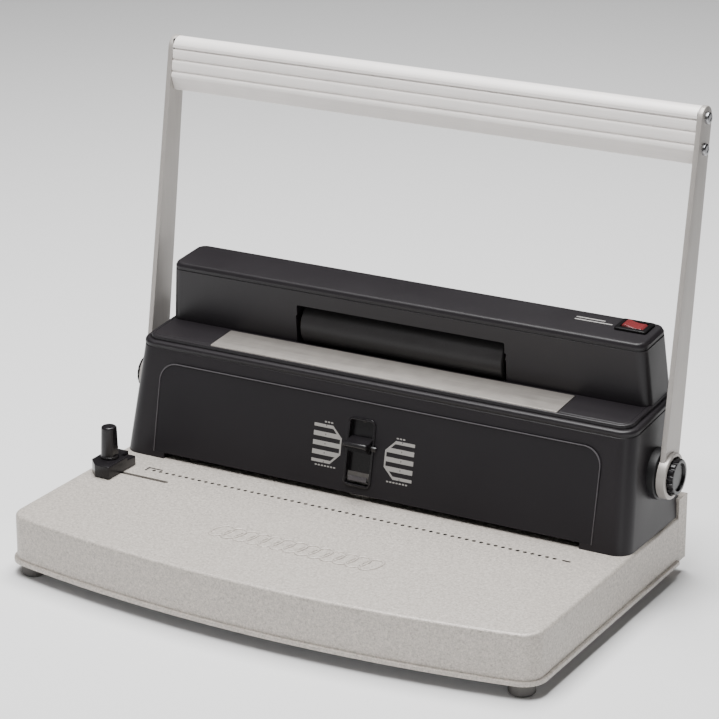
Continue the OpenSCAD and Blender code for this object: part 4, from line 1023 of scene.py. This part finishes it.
class PUNCH_OT_pivots(bpy.types.Operator):
    """Builds the bosses, the hubs and the fluted clamp knobs at both pivots"""

    bl_idname = "punch.pivots"
    bl_label = "Pivots"

    def execute(self, context):
        boss = rod(16.5, 6.0, (BOSS_OUT - 3, 0, 0), "X", 96)
        soften(boss, lambda e: middle(e).x > BOSS_OUT - 0.2 and not along(e, 0), 1.0, 4)
        combine(boss, rod(12, 6, (181.5, 0, 0), "X", 64), "UNION")
        groove = rod(14.9, 1.2, (BOSS_OUT, 0, 0), "X", 96)
        combine(groove, rod(14.1, 4, (BOSS_OUT, 0, 0), "X", 96))
        combine(boss, groove)
        combine(boss, rod(5.3, 40, (184, 0, 0), "X", 64))
        hub = rod(12.6, 3.5, (ARM_IN + 1.75, 0, 0), "X", 96)
        soften(hub, lambda e: middle(e).x > ARM_OUT - 0.1 and not along(e, 0), 0.5, 3)
        combine(hub, rod(5, 20, (ARM_IN, 0, 0), "X", 64))
        start = ARM_OUT + 0.3
        knob = rod(11.6, 6, (start + 3, 0, 0), "X", 96)
        inset_faces(knob, lambda f: f.normal.x > 0.9, (2.6, 0), (0.5, -1.4))
        soften(knob, lambda e: not along(e, 0) and middle(e).x > start + 5.9 and middle(e).yz.length > 10.5,
               0.9, 4)
        flute = rod(1.35, 30, (start + 4, 0, 12.1), "X", 20)
        combine(knob, copies(flute, [Matrix.Rotation(2 * math.pi * k / 16, 4, "X") for k in range(16)]))
        soften(knob, lambda e: along(e, 0) and e.calc_face_angle(0) > 0.5 and e.calc_length() > 3, 0.22, 2)
        combine(knob, rod(2.5, 13, (ARM_OUT - 6 + 0.5, 0, 0), "X", 32), "UNION")
        table = ((boss, "pivot_ring", "pivot_boss", "chassis", "boss_grey"),
                 (hub, "arm_hub", "hub", "handle", "control_black"),
                 (knob, "clamp_knob", "arm_knob", None, "control_black"))
        for piece, name, node, body, slot in table:
            left = duplicate(piece)
            for item, side, place in ((piece, "right", ON_PIVOT), (left, "left", ON_PIVOT @ MIRROR)):
                settle(item, f"{side}_{name}", place, body or f"{side}_clamp_knob", slot, f"{side}_{node}")
        return {"FINISHED"}


class PUNCH_OT_edge_guide(bpy.types.Operator):
    """Builds the sliding edge guide and its tall clamp knob"""

    bl_idname = "punch.edge_guide"
    bl_label = "Edge guide"

    def execute(self, context):
        gx, gy = GUIDE
        body = block((18.5, 31.8, 8.65), (gx + 0.25, gy + 0.4, BASE_TOP + 4.675))
        soften(body, lambda e: along(e, 2) and middle(e).x < gx and middle(e).y < gy, 7.4, 1)
        combine(body, block((20, 40, 5), (gx + 14, gy + 27, BASE_TOP + 9)))
        soften(body, lambda e: e.calc_face_angle(0) > 0.5 and middle(e).z > BASE_TOP + 0.5, 0.6, 3)
        combine(body, rod(1.6, 40, (gx, gy, BASE_TOP), "Z", 24))
        settle(body, "guide_block", ON_BASE, "guide", "control_black", "edge_guide")
        top = BASE_TOP + 9.3
        knob = rod(5.9, 22, (gx, gy, top + 11), "Z", 64)
        edit(knob)
        choose("VERT", lambda v: v.co.z > top + 21)
        bpy.ops.transform.resize(value=(0.87, 0.87, 1), center_override=(gx, gy, top + 22))
        done()
        soften(knob, lambda e: all(v.co.z > top + 21.9 for v in e.verts), 1.3, 5)
        combine(knob, block((6, 30, 24), (gx + 7.7, gy, top + 14)))
        collar = rod(6.05, 1.5, (gx, gy, top + 0.75), "Z", 64)
        soften(collar, lambda e: middle(e).z > top + 1.4 and not along(e, 2), 0.4, 3)
        combine(collar, knob, "UNION")
        combine(collar, rod(1.6, 24, (gx, gy, top), "Z", 24))
        settle(collar, "guide_grip", ON_BASE, "guide_clamp", "control_black", "guide_knob")
        return {"FINISHED"}


class PUNCH_OT_softened_nodes(bpy.types.Operator):
    """Rounds the edges of copies of the plain panels, plates and feet"""

    bl_idname = "punch.softened_nodes"
    bl_label = "Softened pieces"

    # Node, name of the softened piece, body and width of the rounding in millimetres
    pieces = (("chip_drawer", "drawer_body", "drawer", 0.7), ("back_panel", "rear_panel", "chassis", 0.3),
              ("feet", "foot_pads", "chassis", 0.4), ("power_inlet", "inlet_socket", "chassis", 0.3),
              ("gear_motor", "motor_body", "chassis", 0.5),
              ("left_side_frame", "left_bearing_frame", "chassis", 0.3),
              ("right_side_frame", "right_bearing_frame", "chassis", 0.3))

    def execute(self, context):
        for node, name, body, width in self.pieces:
            copy = node_copy(node)
            edit_all(copy)
            bpy.ops.mesh.dissolve_limited(angle_limit=math.radians(1))
            done()
            modify(copy, "BEVEL", width=width / 1000, segments=2, limit_method="ANGLE",
                   angle_limit=math.radians(50), use_clamp_overlap=True)
            slot = next(p["material_slot"] for p in frame["record"]["subparts"] if p["node"] == node)
            settle(copy, name, Matrix(), body, slot, node, angle=20)
        return {"FINISHED"}


class PUNCH_OT_return_springs(bpy.types.Operator):
    """Makes the two return springs, each with a mesh of its own. The real springs shorten as the punch goes
    down
    """

    bl_idname = "punch.return_springs"
    bl_label = "Return springs"

    def execute(self, context):
        for side in ("left", "right"):
            node = f"{side}_return_spring"
            spring = settle(node_copy(node), f"{side}_spring_coil", Matrix(), "chassis", "spring_steel", node,
                            angle=50)
            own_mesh(spring)
        return {"FINISHED"}


# ---------- stage ----------


class PUNCH_OT_stage(bpy.types.Operator):
    """Sets the pale floor, the soft lights and the camera"""

    bl_idname = "punch.stage"
    bl_label = "Stage"

    def execute(self, context):
        cfg = context.scene.punch_look
        clear_choice()
        bpy.ops.mesh.primitive_plane_add(size=12, location=(0, 0, 0))
        floor = bpy.context.object
        floor.name = "floor"
        mat = bpy.data.materials.new("floor_paper")
        mat.use_nodes = True
        fill(mat.node_tree.nodes["Principled BSDF"],
             {"Base Color": (*cfg.floor_colour, 1), "Roughness": 0.9, "Emission Color": (1, 1, 1, 1),
              "Emission Strength": cfg.floor_glow})
        floor.data.materials.append(mat)
        world = context.scene.world or bpy.data.worlds.new("studio")
        context.scene.world = world
        world.use_nodes = True
        fill(world.node_tree.nodes["Background"], {"Color": (1, 1, 1, 1), "Strength": cfg.surround})
        for name, place, aim, size, power in (
                ("key", (-0.9, -1.1, 1.7), (0, 0, 0.1), (1.1, 1.1), cfg.key_power),
                ("corner", (1.25, -1.3, 0.24), (0.15, 0, 0.08), (0.25, 0.4), cfg.corner_power),
                ("top", (-0.1, 0.0, 1.75), (0, 0, 0.1), (1.6, 0.9), cfg.top_power)):
            bpy.ops.object.light_add(type="AREA", location=place)
            lamp = bpy.context.object
            lamp.name = name
            lamp.data.shape = "RECTANGLE"
            lamp.data.size, lamp.data.size_y = size
            lamp.data.energy = power
            lamp.rotation_euler = (Vector(aim) - Vector(place)).to_track_quat("-Z", "Y").to_euler()
        bpy.ops.object.camera_add(location=(0.8348, -1.4504, 0.7469),
                                  rotation=(math.radians(90 - 19.69), 0, math.radians(29.52)))
        camera = bpy.context.object
        camera.data.sensor_width = 36
        camera.data.lens = 142.45
        context.scene.camera = camera
        return {"FINISHED"}


OPERATORS = (PUNCH_OT_frame_finishes, PUNCH_OT_base_tray, PUNCH_OT_coil_emblem, PUNCH_OT_lower_shell,
             PUNCH_OT_front_panel, PUNCH_OT_thickness_charts, PUNCH_OT_depth_selector, PUNCH_OT_upper_cover,
             PUNCH_OT_bed_strip, PUNCH_OT_roller, PUNCH_OT_power_switch, PUNCH_OT_handle_arms, PUNCH_OT_grip,
             PUNCH_OT_pivots, PUNCH_OT_edge_guide, PUNCH_OT_softened_nodes, PUNCH_OT_return_springs,
             PUNCH_OT_stage)


class PUNCH_PT_build(bpy.types.Panel):
    """Lists the builder's steps and sizes"""

    bl_idname = "PUNCH_PT_build"
    bl_label = "Coil Punch"
    bl_space_type = "VIEW_3D"
    bl_region_type = "UI"
    bl_category = "Coil Punch"

    def draw(self, context):
        for settings in (context.scene.punch_base, context.scene.punch_housing, context.scene.punch_look):
            box = self.layout.box()
            for name in settings.__annotations__:
                box.prop(settings, name)
        for operator in OPERATORS:
            self.layout.operator(operator.bl_idname)


SETTINGS = (("punch_base", PunchBaseSettings), ("punch_housing", PunchHousingSettings),
            ("punch_look", PunchLookSettings))


def register():
    for name, group in SETTINGS:
        bpy.utils.register_class(group)
        setattr(bpy.types.Scene, name, PointerProperty(type=group))
    for item in (*OPERATORS, PUNCH_PT_build):
        bpy.utils.register_class(item)


def unregister():
    for item in reversed((*OPERATORS, PUNCH_PT_build)):
        bpy.utils.unregister_class(item)
    for name, group in SETTINGS:
        delattr(bpy.types.Scene, name)
        bpy.utils.unregister_class(group)


def main():
    register()
    for operator in OPERATORS:
        group, name = operator.bl_idname.split(".")
        getattr(getattr(bpy.ops, group), name)()
    clear_choice()


if __name__ == "__main__":
    main()
